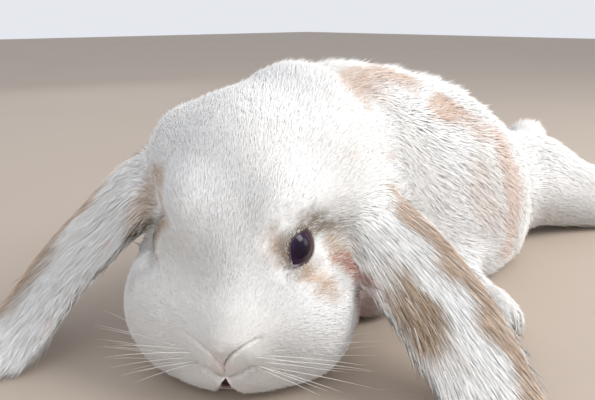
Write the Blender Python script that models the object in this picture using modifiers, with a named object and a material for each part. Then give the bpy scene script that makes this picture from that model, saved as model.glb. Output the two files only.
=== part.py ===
"""Life-size lop rabbit, lying flat on its belly with its chin on the floor.

The animal faces -Y, its left side is +X, and the floor is at Z = 0. The head is turned to its left,
the ears hang to the floor on both sides, the left forefoot rests out beside the chest and the hind
legs are stretched out behind. Every solid reaches to the tips of the coat. Sizes are written in
millimetres and turned into metres by mm(). The head, neck and trunk are one blended form parted by
thin cuts; ears, legs and tail are separate forms, each trimmed to fit against that body.
"""

import math
from dataclasses import dataclass

import bmesh
import bpy
from mathutils import Matrix, Vector

COLLECTION = "lop_rabbit"
MM = 0.001
GAP = 0.3  # clearance between neighbouring solids
WELD = 0.25  # corners nearer than this become one, so that a cut leaves no slivers
FLOOR_SINK = 1.2  # how far soft undersides are pressed flat by the floor

# --- Driving dimensions of the animal (millimetres) ------------------------------------------------
TRUNK_HALF_WIDTH = 62.0
BACK_HEIGHT = 121.0
CHEEK_HALF_WIDTH = 49.5
HEAD_HEIGHT = 114.5
HEAD_TURN = 38.0  # degrees, the head's turn to the animal's left
HEAD_CENTRE = (13.0, -140.0)  # the point of the floor below the middle of the head
EYEBALL_RADIUS = 9.0
EAR_LENGTH_STATIONS = 18
EAR_WIDTH = 46.0
EAR_THICKNESS = 8.5
EAR_TIP_START = 0.9  # share of the length where the tip begins
EAR_TIP_THINNING = 0.75

# --- Mesh densities --------------------------------------------------------------------------------
VOXEL = 3.0
BODY_TRIANGLES = 4000
LEG_TRIANGLES = 420
BODY_ROUNDS = 18  # how often a fused body is smoothed
LEG_ROUNDS = 2
TAIL_ROUNDS = 1
FOOT_SPLIT = 0.55
TAIL_TRIANGLES = 260
RING_SIDES = 28
ARCHED = 0.88  # powers that shape a trunk section: 1 is an ellipse, less is squarer
FLATTENED = 0.45
LIMB_SIDES = 16
EAR_SIDES = 14
EYE_SEGMENTS = 18
EYE_RINGS = 10


@dataclass(frozen=True)
class TrunkStation:
    """One cross-section of the trunk: its place along Y, its middle and its reach."""

    y: float
    x: float
    half_width: float
    top: float
    bottom: float


@dataclass(frozen=True)
class Lump:
    """An ellipsoid of flesh: centre and radii along its own axes, and its pitch in degrees."""

    centre: tuple
    radii: tuple
    pitch: float = 0.0


@dataclass(frozen=True)
class Coat:
    """The plain look of a solid: base colour, roughness and metallic value."""

    colour: tuple
    roughness: float
    metallic: float = 0.0


TRUNK = (
    TrunkStation(-98, 4, 26, 96, 14),
    TrunkStation(-92, 3, 40, 112, 3),
    TrunkStation(-80, 0, 47, BACK_HEIGHT, -FLOOR_SINK),
    TrunkStation(-60, -3, 51, BACK_HEIGHT, -FLOOR_SINK),
    TrunkStation(-36, -3, 57, BACK_HEIGHT - 4, -FLOOR_SINK),
    TrunkStation(0, -1, TRUNK_HALF_WIDTH, BACK_HEIGHT - 12, -FLOOR_SINK),
    TrunkStation(30, -2, TRUNK_HALF_WIDTH - 2, BACK_HEIGHT - 26, -FLOOR_SINK),
    TrunkStation(60, -4, 51, BACK_HEIGHT - 40, -FLOOR_SINK),
    TrunkStation(86, -3, 41, BACK_HEIGHT - 56, -FLOOR_SINK),
    TrunkStation(103, 0, 30, BACK_HEIGHT - 70, 0),
    TrunkStation(113, 2, 16, BACK_HEIGHT - 88, 9),
)
NECK = Lump((4, -103, 60), (47, 37, 63), 0.0)

# The head's lumps are given in its own frame: forward, left and up from HEAD_CENTRE.
CRANIUM = Lump((-14, 0, 69), (42, 41, HEAD_HEIGHT - 69), 0.0)
FOREHEAD = Lump((12, 0, 62), (24, 20, 40), -32.0)
MUZZLE = Lump((27, 0, 31), (23, 21, 19), 0.0)
CHIN = Lump((15, 0, 15), (29.5, 37, 18), 0.0)
CHEEK = Lump((9, 19, 29), (34, CHEEK_HALF_WIDTH - 19, 32), 0.0)
TEMPLE = Lump((4, 15, 66), (32, 19, 28), 0.0)
EAR_ROOT = Lump((-12, 26, 82), (21, 18, 25), 0.0)
EYE_CENTRE = (22.2, 21.2, 58.4)
HEAD_CUT = (-29.0, 6.0)  # the cut behind the head: its place along the head, and its lean in degrees
TRUNK_CUT = (-77.0, 22.0)  # the cut before the trunk: its place along Y, and its turn in degrees

EAR_PATHS = {
    "left": ((22, -114, 88), (36, -107, 76), (50, -105, 62), (69, -105, 49.5), (86, -107, 37.5),
             (100.5, -109, 24.5), (114, -112, 11.5), (129, -116, 2.4)),
    "right": ((-12, -147, 88), (-20, -157, 81), (-28, -166, 72), (-36.5, -178, 57), (-44.5, -188, 44.5),
              (-50, -197, 32), (-53, -207, 19), (-54, -218, 8.5), (-51, -232, 2.4)),
}
EAR_FACES = {  # the way an ear's back faces, at its root and at its tip
    "left": ((0.75, -0.35, 0.55), (0.35, -0.25, 0.90)),
    "right": ((0.03, -0.72, 0.69), (0.10, -0.42, 0.90)),
}
EAR_WIDTHS = (0.50, 0.72, 0.90, 0.98, 1.00, 0.98, 0.96, 0.91, 0.80, 0.40)  # shares of EAR_WIDTH
EAR_CURLS = (1.9, 1.5, 1.1, 0.85, 0.75, 0.65, 0.55, 0.45, 0.35, 0.2)  # radians across the width

FORELEGS = {
    "left": (((26, -56, 32), 22), ((42, -36, 19), 15), ((58, -35, 11), 11.5), ((73, -42.5, 9.5), 10.5),
             ((86.5, -51.5, 8.5), 10.8)),
    "right": (((-34, -60, 34), 24), ((-44, -66, 22), 18), ((-46, -92, 14), 14), ((-45, -112, 10.5), 12),
              ((-43, -126, 9), 11.3)),
}
HINDLEGS = {
    "left": (((20, 62, 40), 30), ((27, 92, 37), 32), ((42, 118, 27), 25), ((58, 140, 19), 20),
             ((74, 160, 13), 14), ((92, 182, 9.5), 12), ((108, 201, 8.5), 12.2)),
    "right": (((-22, 62, 38), 32), ((-30, 92, 32), 30), ((-32, 120, 23), 23), ((-32, 146, 17), 18),
              ((-29, 170, 12.5), 13.5), ((-25, 196, 9.5), 12), ((-20, 220, 8.5), 12.2)),
}
TAIL = Lump((6, 127, 49), (15, 22, 17), 38.0)

WHITE_COAT = Coat((0.83, 0.81, 0.78), 0.9)
FAWN_COAT = Coat((0.62, 0.44, 0.30), 0.9)
EYE_GLOSS = Coat((0.02, 0.012, 0.018), 0.1)


def mm(*values):
    """A vector in metres from three lengths in millimetres."""
    return Vector(values) * MM


def head_frame():
    """The matrix from the head's own frame (forward, left, up, in metres) to the world."""
    turn = math.radians(HEAD_TURN)
    forward = Vector((math.sin(turn), -math.cos(turn), 0.0))
    left = Vector((math.cos(turn), math.sin(turn), 0.0))
    frame = Matrix((forward, left, Vector((0.0, 0.0, 1.0)))).transposed().to_4x4()
    frame.translation = mm(*HEAD_CENTRE, 0.0)
    return frame


def clear_scene():
    """Removes every object of the scene."""
    for obj in list(bpy.data.objects):
        bpy.data.objects.remove(obj, do_unlink=True)


def new_object(name, bm, collection):
    """A new object that holds what the bmesh holds."""
    mesh = bpy.data.meshes.new(name)
    bm.to_mesh(mesh)
    bm.free()
    obj = bpy.data.objects.new(name, mesh)
    collection.objects.link(obj)
    return obj


def add_lump(bm, lump, frame=None, side=1):
    """Adds an ellipsoid to the bmesh, in the given frame, on the left (1) or the right (-1)."""
    forward, across, up = lump.centre
    place = Matrix.Translation(mm(forward, across * side, up))
    turn = Matrix.Rotation(math.radians(lump.pitch), 4, "Y" if frame else "X")
    size = Matrix.Diagonal((*mm(*lump.radii), 1.0))
    matrix = (frame or Matrix()) @ place @ turn @ size
    bmesh.ops.create_icosphere(bm, subdivisions=4, radius=1.0, matrix=matrix)


def smooth_path(points, count):
    """Evenly parted Catmull-Rom samples along the points, each point a vector of any length."""
    ends = [2 * points[0] - points[1], *points, 2 * points[-1] - points[-2]]
    samples = []
    for i in range(count):
        place = i / (count - 1) * (len(points) - 1)
        k = min(int(place), len(points) - 2)
        t = place - k
        a, b, c, d = ends[k:k + 4]
        samples.append(0.5 * (2 * b + (c - a) * t + (2 * a - 5 * b + 4 * c - d) * t**2
                              + (3 * b - a - 3 * c + d) * t**3))
    return samples


def sample_list(values, share):
    """The value at a share (0 to 1) of the way along a list, read between its entries."""
    place = share * (len(values) - 1)
    k = min(int(place), len(values) - 2)
    return values[k] + (values[k + 1] - values[k]) * (place - k)


def add_loft(bm, rings):
    """Adds a closed body through the rings, each a loop of points, with a point at each end."""
    loops = []
    for ring in rings:
        verts = [bm.verts.new(p) for p in ring]
        loops.append([bm.edges.new((verts[i - 1], verts[i])) for i in range(len(verts))])
    for first, second in zip(loops, loops[1:]):
        bmesh.ops.bridge_loops(bm, edges=first + second)
    for loop in (loops[0], loops[-1]):
        cap = bmesh.ops.contextual_create(bm, geom=loop)
        bmesh.ops.poke(bm, faces=cap["faces"])
    bmesh.ops.recalc_face_normals(bm, faces=bm.faces)


def trunk_rings():
    """Cross-sections of the trunk: broad and flat below, arched above."""
    rings = []
    for station in TRUNK:
        middle = station.bottom + 0.37 * (station.top - station.bottom)
        ring = []
        for k in range(RING_SIDES):
            angle = 2 * math.pi * k / RING_SIDES
            square = ARCHED if math.sin(angle) > 0 else FLATTENED
            across = math.copysign(abs(math.cos(angle))**square, math.cos(angle))
            rise = math.copysign(abs(math.sin(angle))**square, math.sin(angle))
            reach = station.top - middle if rise > 0 else middle - station.bottom
            x = station.x + station.half_width * across
            ring.append(mm(x, station.y, middle + reach * rise))
        rings.append(ring)
    return rings


def limb_rings(stations, count=14):
    """Round cross-sections along a limb, from (centre, radius) stations, with rounded ends."""
    path = smooth_path([Vector((*centre, radius)) for centre, radius in stations], count)
    centres = [Vector(p[:3]) for p in path]
    radii = [p[3] for p in path]
    rings = []
    for i, centre in enumerate(centres):
        ahead = centres[min(i + 1, count - 1)] - centres[max(i - 1, 0)]
        turn = ahead.to_track_quat("Z", "Y")
        caps = ((-0.85, 0.5), (-0.5, 0.85), (0, 1)) if i == 0 else ((0, 1),)
        caps = ((0, 1), (0.5, 0.85), (0.85, 0.5)) if i == count - 1 else caps
        for along, share in caps:
            middle = centre + ahead.normalized() * radii[i] * along
            ring = []
            for k in range(LIMB_SIDES):
                angle = 2 * math.pi * k / LIMB_SIDES
                offset = Vector((math.cos(angle), math.sin(angle), 0.0)) * radii[i] * share
                ring.append((middle + turn @ offset) * MM)
            rings.append(ring)
    return rings


def ear_rings(side):
    """Cross-sections of an ear: a thick leaf, curled about its length, hollow side inwards."""
    path = smooth_path([Vector(p) for p in EAR_PATHS[side]], EAR_LENGTH_STATIONS)
    faces = [Vector(v) for v in EAR_FACES[side]]
    rings = []
    for i, centre in enumerate(path):
        share = i / (EAR_LENGTH_STATIONS - 1)
        ahead = path[min(i + 1, len(path) - 1)] - path[max(i - 1, 0)]
        out = faces[0].lerp(faces[1], share)
        wide = ahead.cross(out).normalized()
        out = wide.cross(ahead).normalized()
        half = 0.5 * EAR_WIDTH * sample_list(EAR_WIDTHS, share)
        curl = sample_list(EAR_CURLS, share)
        thick = 0.5 * EAR_THICKNESS * (1.0 if share < EAR_TIP_START else EAR_TIP_THINNING)
        bend = 2 * half / curl
        ring = []
        for k in range(EAR_SIDES):
            angle = 2 * math.pi * k / EAR_SIDES
            along = 0.5 * curl * math.cos(angle)
            depth = bend + thick * math.sin(angle)
            sunk = bend * math.cos(0.25 * curl)
            ring.append((centre + wide * depth * math.sin(along)
                         + out * (depth * math.cos(along) - sunk)) * MM)
        rings.append(ring)
    return rings


def apply_modifiers(obj):
    """Replaces the object's mesh with the one that its modifiers give."""
    evaluated = obj.evaluated_get(bpy.context.evaluated_depsgraph_get())
    mesh = bpy.data.meshes.new_from_object(evaluated)
    obj.modifiers.clear()
    obj.data = mesh


def blend(obj, voxel, rounds, triangles):
    """Fuses the bodies of an object into one smooth closed body of about so many triangles."""
    fuse = obj.modifiers.new("fuse", "REMESH")
    fuse.mode = "VOXEL"
    fuse.voxel_size = voxel * MM
    soften = obj.modifiers.new("soften", "SMOOTH")
    soften.factor = 0.5
    soften.iterations = rounds
    apply_modifiers(obj)
    thin = obj.modifiers.new("thin", "DECIMATE")
    faces = sum(len(p.vertices) - 2 for p in obj.data.polygons)
    thin.ratio = min(1.0, triangles / faces)
    apply_modifiers(obj)


def keep_side(obj, point, outward):
    """Cuts off what lies beyond the plane on its outward side, and closes the cut."""
    bm = bmesh.new()
    bm.from_mesh(obj.data)
    for vertex in bm.verts:
        height = (vertex.co - point).dot(outward)
        if abs(height) < WELD * MM:
            vertex.co -= outward * height
    geometry = [*bm.verts, *bm.edges, *bm.faces]
    bmesh.ops.bisect_plane(bm, geom=geometry, plane_co=point, plane_no=outward, dist=1e-5,
                           clear_outer=True)
    rim = [e for e in bm.edges if e.is_boundary]
    bmesh.ops.holes_fill(bm, edges=rim, sides=0)
    bmesh.ops.dissolve_degenerate(bm, edges=bm.edges, dist=WELD * MM)
    bmesh.ops.triangulate(bm, faces=bm.faces)
    bmesh.ops.recalc_face_normals(bm, faces=bm.faces)
    bm.to_mesh(obj.data)
    bm.free()


def flatten_on_floor(obj):
    """Cuts the object off at the floor, which leaves small flats to rest on."""
    keep_side(obj, Vector((0.0, 0.0, 0.0)), Vector((0.0, 0.0, -1.0)))


def grown_copy(obj, collection, gap=GAP):
    """A cutter: the object's shape, larger all round by the gap."""
    cutter = bpy.data.objects.new(obj.name + "_cutter", obj.data.copy())
    normals = [v.normal.copy() for v in cutter.data.vertices]
    for vertex, normal in zip(cutter.data.vertices, normals):
        vertex.co += normal * gap * MM
    cutter.hide_render = True
    cutter.display_type = "WIRE"
    collection.objects.link(cutter)
    return cutter


def carve(obj, cutter):
    """Takes the cutter's shape away from the object, and keeps the largest body left."""
    cut = obj.modifiers.new("carve", "BOOLEAN")
    cut.operation = "DIFFERENCE"
    cut.object = cutter
    apply_modifiers(obj)
    bm = bmesh.new()
    bm.from_mesh(obj.data)
    bmesh.ops.dissolve_degenerate(bm, edges=bm.edges, dist=WELD * MM)
    bmesh.ops.triangulate(bm, faces=bm.faces)
    keep_largest(bm)
    bm.to_mesh(obj.data)
    bm.free()


def keep_largest(bm):
    """Removes every loose body of the bmesh but the one with the most vertices."""
    unseen = set(bm.verts)
    bodies = []
    while unseen:
        body = {unseen.pop()}
        edge_of_body = list(body)
        while edge_of_body:
            vertex = edge_of_body.pop()
            for edge in vertex.link_edges:
                other = edge.other_vert(vertex)
                if other in unseen:
                    unseen.discard(other)
                    body.add(other)
                    edge_of_body.append(other)
        bodies.append(body)
    bodies.sort(key=len)
    loose = [v for body in bodies[:-1] for v in body]
    bmesh.ops.delete(bm, geom=loose, context="VERTS")


def copy_of(obj, name, collection):
    """A second object with its own copy of the mesh."""
    twin = bpy.data.objects.new(name, obj.data.copy())
    collection.objects.link(twin)
    return twin


def finish(obj, coat):
    """Gives the object its material and smooth shading."""
    material = bpy.data.materials.new(obj.name)
    material.use_nodes = True
    shader = material.node_tree.nodes["Principled BSDF"]
    shader.inputs["Base Color"].default_value = (*coat.colour, 1.0)
    shader.inputs["Roughness"].default_value = coat.roughness
    shader.inputs["Metallic"].default_value = coat.metallic
    obj.data.materials.clear()
    obj.data.materials.append(material)
    obj.data.shade_smooth()


def build_body(parts):
    """The head, neck and trunk as one blended form, with flats where it rests."""
    frame = head_frame()
    bm = bmesh.new()
    add_loft(bm, trunk_rings())
    add_lump(bm, NECK)
    for lump in (CRANIUM, FOREHEAD, MUZZLE, CHIN):
        add_lump(bm, lump, frame)
    for side in (1, -1):
        for lump in (CHEEK, TEMPLE, EAR_ROOT):
            add_lump(bm, lump, frame, side)
    body = new_object("body", bm, parts)
    blend(body, VOXEL, BODY_ROUNDS, BODY_TRIANGLES)
    flatten_on_floor(body)
    return body


def part_body(body, parts):
    """Parts the body into head, neck and trunk by two thin upright cuts."""
    frame = head_frame()
    place, lean = HEAD_CUT
    lean = math.radians(lean)
    head_point = frame @ mm(place, 0.0, 60.0)
    to_head = frame.to_3x3() @ Vector((math.cos(lean), 0.0, math.sin(lean)))
    place, turn = TRUNK_CUT
    turn = math.radians(turn)
    trunk_point = mm(0.0, place, 0.0)
    to_neck = Vector((math.sin(turn), -math.cos(turn), 0.0))
    half_gap = 0.5 * GAP * MM
    head = copy_of(body, "head", parts)
    keep_side(head, head_point + to_head * half_gap, -to_head)
    neck = copy_of(body, "neck", parts)
    keep_side(neck, head_point - to_head * half_gap, to_head)
    keep_side(neck, trunk_point + to_neck * half_gap, -to_neck)
    trunk = copy_of(body, "trunk", parts)
    keep_side(trunk, trunk_point - to_neck * half_gap, to_neck)
    return head, neck, trunk


def build_eye(side, parts):
    """An eyeball, set with its front a little proud of the coat."""
    forward, across, up = EYE_CENTRE
    bm = bmesh.new()
    place = Matrix.Translation(mm(forward, across * side, up))
    bmesh.ops.create_uvsphere(bm, u_segments=EYE_SEGMENTS, v_segments=EYE_RINGS, radius=EYEBALL_RADIUS * MM,
                              matrix=head_frame() @ place)
    bmesh.ops.triangulate(bm, faces=bm.faces)
    return new_object("eye_left" if side > 0 else "eye_right", bm, parts)


def build_ear(side, parts):
    """An ear, from its root in the crown to the end that lies on the floor."""
    bm = bmesh.new()
    add_loft(bm, ear_rings(side))
    bmesh.ops.triangulate(bm, faces=bm.faces)
    ear = new_object("ear_" + side, bm, parts)
    flatten_on_floor(ear)
    return ear


def build_limb(name, stations, parts):
    """A leg with its foot, round in section and flat where it lies on the floor."""
    bm = bmesh.new()
    add_loft(bm, limb_rings(stations))
    limb = new_object(name, bm, parts)
    blend(limb, VOXEL, LEG_ROUNDS, LEG_TRIANGLES)
    flatten_on_floor(limb)
    return limb


def split_foot(leg, stations, foot_name, parts):
    """Parts the foot from its leg by a thin cut across the limb."""
    count = len(stations)
    k = int(FOOT_SPLIT * (count - 1))
    ankle = Vector(stations[k + 1][0])
    along = (ankle - Vector(stations[k][0])).normalized()
    along.z = 0.0
    along.normalize()
    half_gap = 0.5 * GAP * MM
    foot = copy_of(leg, foot_name, parts)
    keep_side(foot, ankle * MM + along * half_gap, -along)
    keep_side(leg, ankle * MM - along * half_gap, along)
    return foot


def build_tail(parts):
    """The short upturned tail."""
    bm = bmesh.new()
    add_lump(bm, TAIL)
    tail = new_object("tail", bm, parts)
    blend(tail, VOXEL, TAIL_ROUNDS, TAIL_TRIANGLES)
    return tail


def centre_on_floor(objects):
    """Moves the meshes so that the middle of their common box is above the origin."""
    corners = [v.co for obj in objects for v in obj.data.vertices]
    middle = Vector((0.0, 0.0, 0.0))
    for axis in (0, 1):
        low = min(c[axis] for c in corners)
        high = max(c[axis] for c in corners)
        middle[axis] = 0.5 * (low + high)
    for obj in objects:
        obj.data.transform(Matrix.Translation(-middle))


def build():
    """Makes every sub-part of the rabbit."""
    clear_scene()
    parts = bpy.data.collections.new(COLLECTION)
    cutters = bpy.data.collections.new(COLLECTION + "_cutters")
    bpy.context.scene.collection.children.link(parts)
    bpy.context.scene.collection.children.link(cutters)

    body = build_body(parts)
    body_cutter = grown_copy(body, cutters)
    white = []
    for side in ("left", "right"):
        ear = build_ear(side, parts)
        carve(ear, body_cutter)
        white.append(ear)
    hind_cutters = []
    for side in ("left", "right"):
        for kind, table in (("fore", FORELEGS), ("hind", HINDLEGS)):
            stations = table[side]
            leg = build_limb(f"{kind}leg_{side}", stations, parts)
            carve(leg, body_cutter)
            if kind == "hind":
                for cutter in hind_cutters:
                    carve(leg, cutter)
                hind_cutters.append(grown_copy(leg, cutters))
            foot = split_foot(leg, stations, f"{kind}foot_{side}", parts)
            white += [leg, foot]
    tail = build_tail(parts)
    for cutter in (body_cutter, *hind_cutters):
        carve(tail, cutter)
    white.append(tail)

    head, neck, trunk = part_body(body, parts)
    bpy.data.objects.remove(body, do_unlink=True)
    eyes = []
    for side in (1, -1):
        eye = build_eye(side, parts)
        eyes.append(eye)
        carve(head, grown_copy(eye, cutters))
    white += [head, neck]
    for cutter in list(cutters.objects):
        bpy.data.objects.remove(cutter, do_unlink=True)

    centre_on_floor([*white, trunk, *eyes])
    for obj in white:
        finish(obj, WHITE_COAT)
    finish(trunk, FAWN_COAT)
    for eye in eyes:
        finish(eye, EYE_GLOSS)


build()
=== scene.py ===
"""Lop rabbit lying stretched out: skin, coat, eyes, claws, whiskers and studio.

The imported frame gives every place. The skin is one closed surface inside the flesh
solids, and the coat is laid over it as thin closed tufts that follow its lie.
"""
import logging
import math
from dataclasses import dataclass
from enum import Enum

import bmesh
import bpy
import numpy as np
from mathutils import Matrix, Vector
from mathutils.bvhtree import BVHTree
from mathutils.kdtree import KDTree


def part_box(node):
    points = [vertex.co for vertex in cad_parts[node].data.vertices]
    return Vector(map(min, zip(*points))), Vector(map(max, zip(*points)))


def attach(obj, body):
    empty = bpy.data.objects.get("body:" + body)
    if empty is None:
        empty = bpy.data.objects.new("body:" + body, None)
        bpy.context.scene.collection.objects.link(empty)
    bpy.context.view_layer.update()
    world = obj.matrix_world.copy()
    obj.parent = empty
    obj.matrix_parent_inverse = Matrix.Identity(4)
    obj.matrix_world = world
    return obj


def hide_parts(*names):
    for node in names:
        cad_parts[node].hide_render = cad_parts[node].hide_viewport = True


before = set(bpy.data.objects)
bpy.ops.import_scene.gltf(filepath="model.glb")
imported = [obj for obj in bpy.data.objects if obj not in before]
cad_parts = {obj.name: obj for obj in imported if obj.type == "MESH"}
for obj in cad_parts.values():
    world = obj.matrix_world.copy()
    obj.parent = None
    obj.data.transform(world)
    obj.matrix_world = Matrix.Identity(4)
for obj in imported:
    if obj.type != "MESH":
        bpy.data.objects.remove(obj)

LOG = logging.getLogger("lop_rabbit")
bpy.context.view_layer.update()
MM = 0.001
SEED = 71
SPINE_X = -0.0298
TINY = 1e-9
THIN_OUT = 1.0


class Region(Enum):
    """Flesh regions of the body, each with its own coat."""

    HEAD = 0
    NECK = 1
    TRUNK = 2
    TAIL = 3
    EAR_LEFT = 4
    EAR_RIGHT = 5
    FORELEG_LEFT = 6
    FORELEG_RIGHT = 7
    HINDLEG_LEFT = 8
    HINDLEG_RIGHT = 9
    FOREFOOT = 10
    HINDFOOT = 11


EARS = (Region.EAR_LEFT, Region.EAR_RIGHT)
FORELEGS = (Region.FORELEG_LEFT, Region.FORELEG_RIGHT)
HINDLEGS = (Region.HINDLEG_LEFT, Region.HINDLEG_RIGHT)
FEET = (Region.FOREFOOT, Region.HINDFOOT)
FLESH = {region.name.lower(): region for region in Region if region not in FEET}
FLESH.update({f"{foot.name.lower()}_{side}": foot for foot in FEET for side in ("left", "right")})


def linear(*levels: int) -> tuple[float, ...]:
    """Turn a display colour, in levels from 0 to 255, into scene values from 0 to 1.

    Args:
        levels: the red, green and blue levels.

    Returns:
        The same three, linear.
    """
    shares = [level / 255 for level in levels]
    return tuple(share / 12.92 if share <= 0.04045 else ((share + 0.055) / 1.055) ** 2.4
                 for share in shares)


WHITE = linear(248, 247, 244)
CREAM = linear(243, 236, 224)
GREY = linear(180, 176, 171)
FAWN = linear(204, 172, 150)
PALE_FAWN = linear(224, 198, 182)
TAN = linear(190, 158, 130)
EAR_BROWN = linear(166, 138, 110)
STRAND = linear(104, 80, 60)
SHADE_BROWN = linear(104, 90, 70)
PINK = linear(206, 154, 142)
SHADED_PINK = linear(164, 108, 96)
SLIT_SHADE = linear(146, 130, 132)
LID = linear(44, 32, 38)
MAROON = linear(62, 12, 30)


def unit(vectors: np.ndarray) -> np.ndarray:
    """Return the rows at unit length."""
    return vectors / np.maximum(np.linalg.norm(vectors, axis=-1, keepdims=True), 1e-12)


def dot(one: np.ndarray, other: np.ndarray) -> np.ndarray:
    """Return the row by row dot product."""
    return np.sum(one * other, axis=-1)


def tangent(vectors: np.ndarray, normal: np.ndarray) -> np.ndarray:
    """Return the rows without what in them points along a normal."""
    return vectors - normal * dot(vectors, normal)[:, None]


def ease(value: np.ndarray, low: float, high: float) -> np.ndarray:
    """Return a smooth step from 0 at low to 1 at high."""
    share = np.clip((value - low) / (high - low), 0.0, 1.0)
    return share * share * (3.0 - 2.0 * share)


def blend_to(start: np.ndarray, end: np.ndarray, share: np.ndarray) -> np.ndarray:
    """Return rows of start turned towards end by share."""
    return start + (np.asarray(end) - start) * share[:, None]


def window(value: np.ndarray, span: tuple[float, float], soft: float) -> np.ndarray:
    """Return 1 within a span and 0 outside it, with ends as soft as given."""
    return ease(value, span[0] - soft, span[0] + soft) * (
        1 - ease(value, span[1] - soft, span[1] + soft))


def part_of(weights: np.ndarray, *regions: Region) -> np.ndarray:
    """Return how much each row belongs to some regions taken together."""
    return sum(weights[:, region.value] for region in regions)


def tree_of(points: np.ndarray | list) -> KDTree:
    """Return a tree that finds the nearest of some points.

    Args:
        points: the places to choose from.

    Returns:
        The balanced tree; it numbers the points in their order.
    """
    tree = KDTree(len(points))
    for number, point in enumerate(points):
        tree.insert(point, number)
    tree.balance()
    return tree


def rows_of(items: bpy.types.bpy_prop_collection, key: str, width: int,
            kind: type = float) -> np.ndarray:
    """Read one property of a mesh's vertices, edges, corners or triangles.

    Args:
        items: the collection.
        key: the property.
        width: how many numbers each item has.
        kind: what the numbers are.

    Returns:
        An array with one row for each item.
    """
    values = np.zeros(len(items) * width, dtype=kind)
    items.foreach_get(key, values)
    return values.reshape(-1, width)


def opened(mesh: bpy.types.Mesh) -> bmesh.types.BMesh:
    """Return a mesh's shape for editing."""
    shape = bmesh.new()
    shape.from_mesh(mesh)
    return shape


def closed(shape: bmesh.types.BMesh, mesh: bpy.types.Mesh) -> None:
    """Put an edited shape into a mesh and free it."""
    shape.to_mesh(mesh)
    shape.free()


def linked(name: str, data: bpy.types.ID) -> bpy.types.Object:
    """Return a new object with some data, linked into the scene."""
    piece = bpy.data.objects.new(name, data)
    bpy.context.scene.collection.objects.link(piece)
    return piece


def pour(part: bmesh.types.BMesh, whole: bmesh.types.BMesh) -> None:
    """Add one bmesh to another and free it.

    Args:
        part: the shape to add.
        whole: the shape that takes it.
    """
    solid = bpy.data.meshes.new("solid")
    closed(part, solid)
    whole.from_mesh(solid)
    bpy.data.meshes.remove(solid)


@dataclass(frozen=True)
class Ripple:
    """Smooth wandering values over space, from a few crossed waves."""

    size: float
    seed: int

    def at(self, points: np.ndarray) -> np.ndarray:
        """Wander smoothly over space.

        Args:
            points: places in metres.

        Returns:
            A value from about -1 to 1 at each.
        """
        rng = np.random.default_rng(self.seed)
        total = np.zeros(len(points))
        for _ in range(7):
            way = unit(rng.normal(size=3))
            length = self.size * rng.uniform(0.7, 1.6)
            total += np.sin(points @ way * (math.tau / length) + rng.uniform(0, math.tau))
        return total / 3.2


@dataclass(frozen=True)
class Path:
    """A line of points in millimetres that an ear, limb or marking follows."""

    points: tuple[tuple[float, float, float], ...]

    def project(self, where: np.ndarray) -> dict[str, np.ndarray]:
        """Find the nearest place on the line.

        Args:
            where: points in metres.

        Returns:
            Distance, arc length and share along, foot point and direction, in metres.
        """
        line = np.array(self.points) * MM
        legs = np.diff(line, axis=0)
        lengths = np.linalg.norm(legs, axis=1)
        along = unit(legs)
        ways = unit(np.vstack([along[:1], along[:-1] + along[1:], along[-1:]]))
        found = {
            "distance": np.full(len(where), np.inf),
            "arc": np.zeros(len(where)),
            "foot": np.zeros((len(where), 3)),
            "way": np.zeros((len(where), 3)),
        }
        run = 0.0
        for index, leg in enumerate(legs):
            share = np.clip((where - line[index]) @ leg / lengths[index] ** 2, 0.0, 1.0)
            foot = line[index] + share[:, None] * leg
            gap = np.linalg.norm(where - foot, axis=1)
            near = gap < found["distance"]
            turned = unit(blend_to(np.tile(ways[index], (len(where), 1)), ways[index + 1], share))
            here = {"distance": gap, "arc": run + share * lengths[index], "foot": foot,
                    "way": turned}
            for key, value in here.items():
                found[key][near] = value[near]
            run += lengths[index]
        found["share"] = found["arc"] / run
        return found


EAR_LINES = {
    Region.EAR_LEFT: Path(
        ((-7.1, -112.3, 88), (6.9, -105.3, 76), (20.9, -103.3, 62),
         (39.9, -103.3, 49.5), (56.9, -105.3, 37.5), (71.4, -107.3, 24.5),
         (84.9, -110.3, 11.5), (99.9, -114.3, 2.4))),
    Region.EAR_RIGHT: Path(
        ((-41.1, -145.3, 88), (-49.1, -155.3, 81), (-57.1, -164.3, 72),
         (-65.6, -176.3, 57), (-73.6, -186.3, 44.5), (-79.1, -195.3, 32),
         (-82.1, -205.3, 19), (-83.1, -216.3, 8.5), (-80.1, -230.3, 2.4))),
}
EAR_FACES = {
    Region.EAR_LEFT: ((0.75, -0.35, 0.55), (0.35, -0.25, 0.90)),
    Region.EAR_RIGHT: ((0.03, -0.72, 0.69), (0.10, -0.42, 0.90)),
}
LIMB_LINES = {
    Region.FORELEG_LEFT: Path(
        ((-3.1, -54.3, 32), (12.9, -34.3, 19), (28.9, -33.3, 11), (43.9, -40.8, 9.5),
         (63.9, -54.3, 8))),
    Region.FORELEG_RIGHT: Path(
        ((-63.1, -58.3, 34), (-73.1, -64.3, 22), (-75.1, -90.3, 14),
         (-74.1, -110.3, 10.5), (-71.1, -131.8, 8))),
    Region.HINDLEG_LEFT: Path(
        ((-9.1, 63.7, 40), (-2.1, 93.7, 37), (12.9, 119.7, 27), (28.9, 141.7, 19),
         (44.9, 161.7, 13), (62.9, 183.7, 9.5), (84.4, 209.7, 8))),
    Region.HINDLEG_RIGHT: Path(
        ((-51.1, 63.7, 38), (-59.1, 93.7, 32), (-61.1, 121.7, 23), (-61.1, 147.7, 17),
         (-58.1, 171.7, 12.5), (-54.1, 197.7, 9.5), (-47.5, 229.7, 8))),
}


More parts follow.
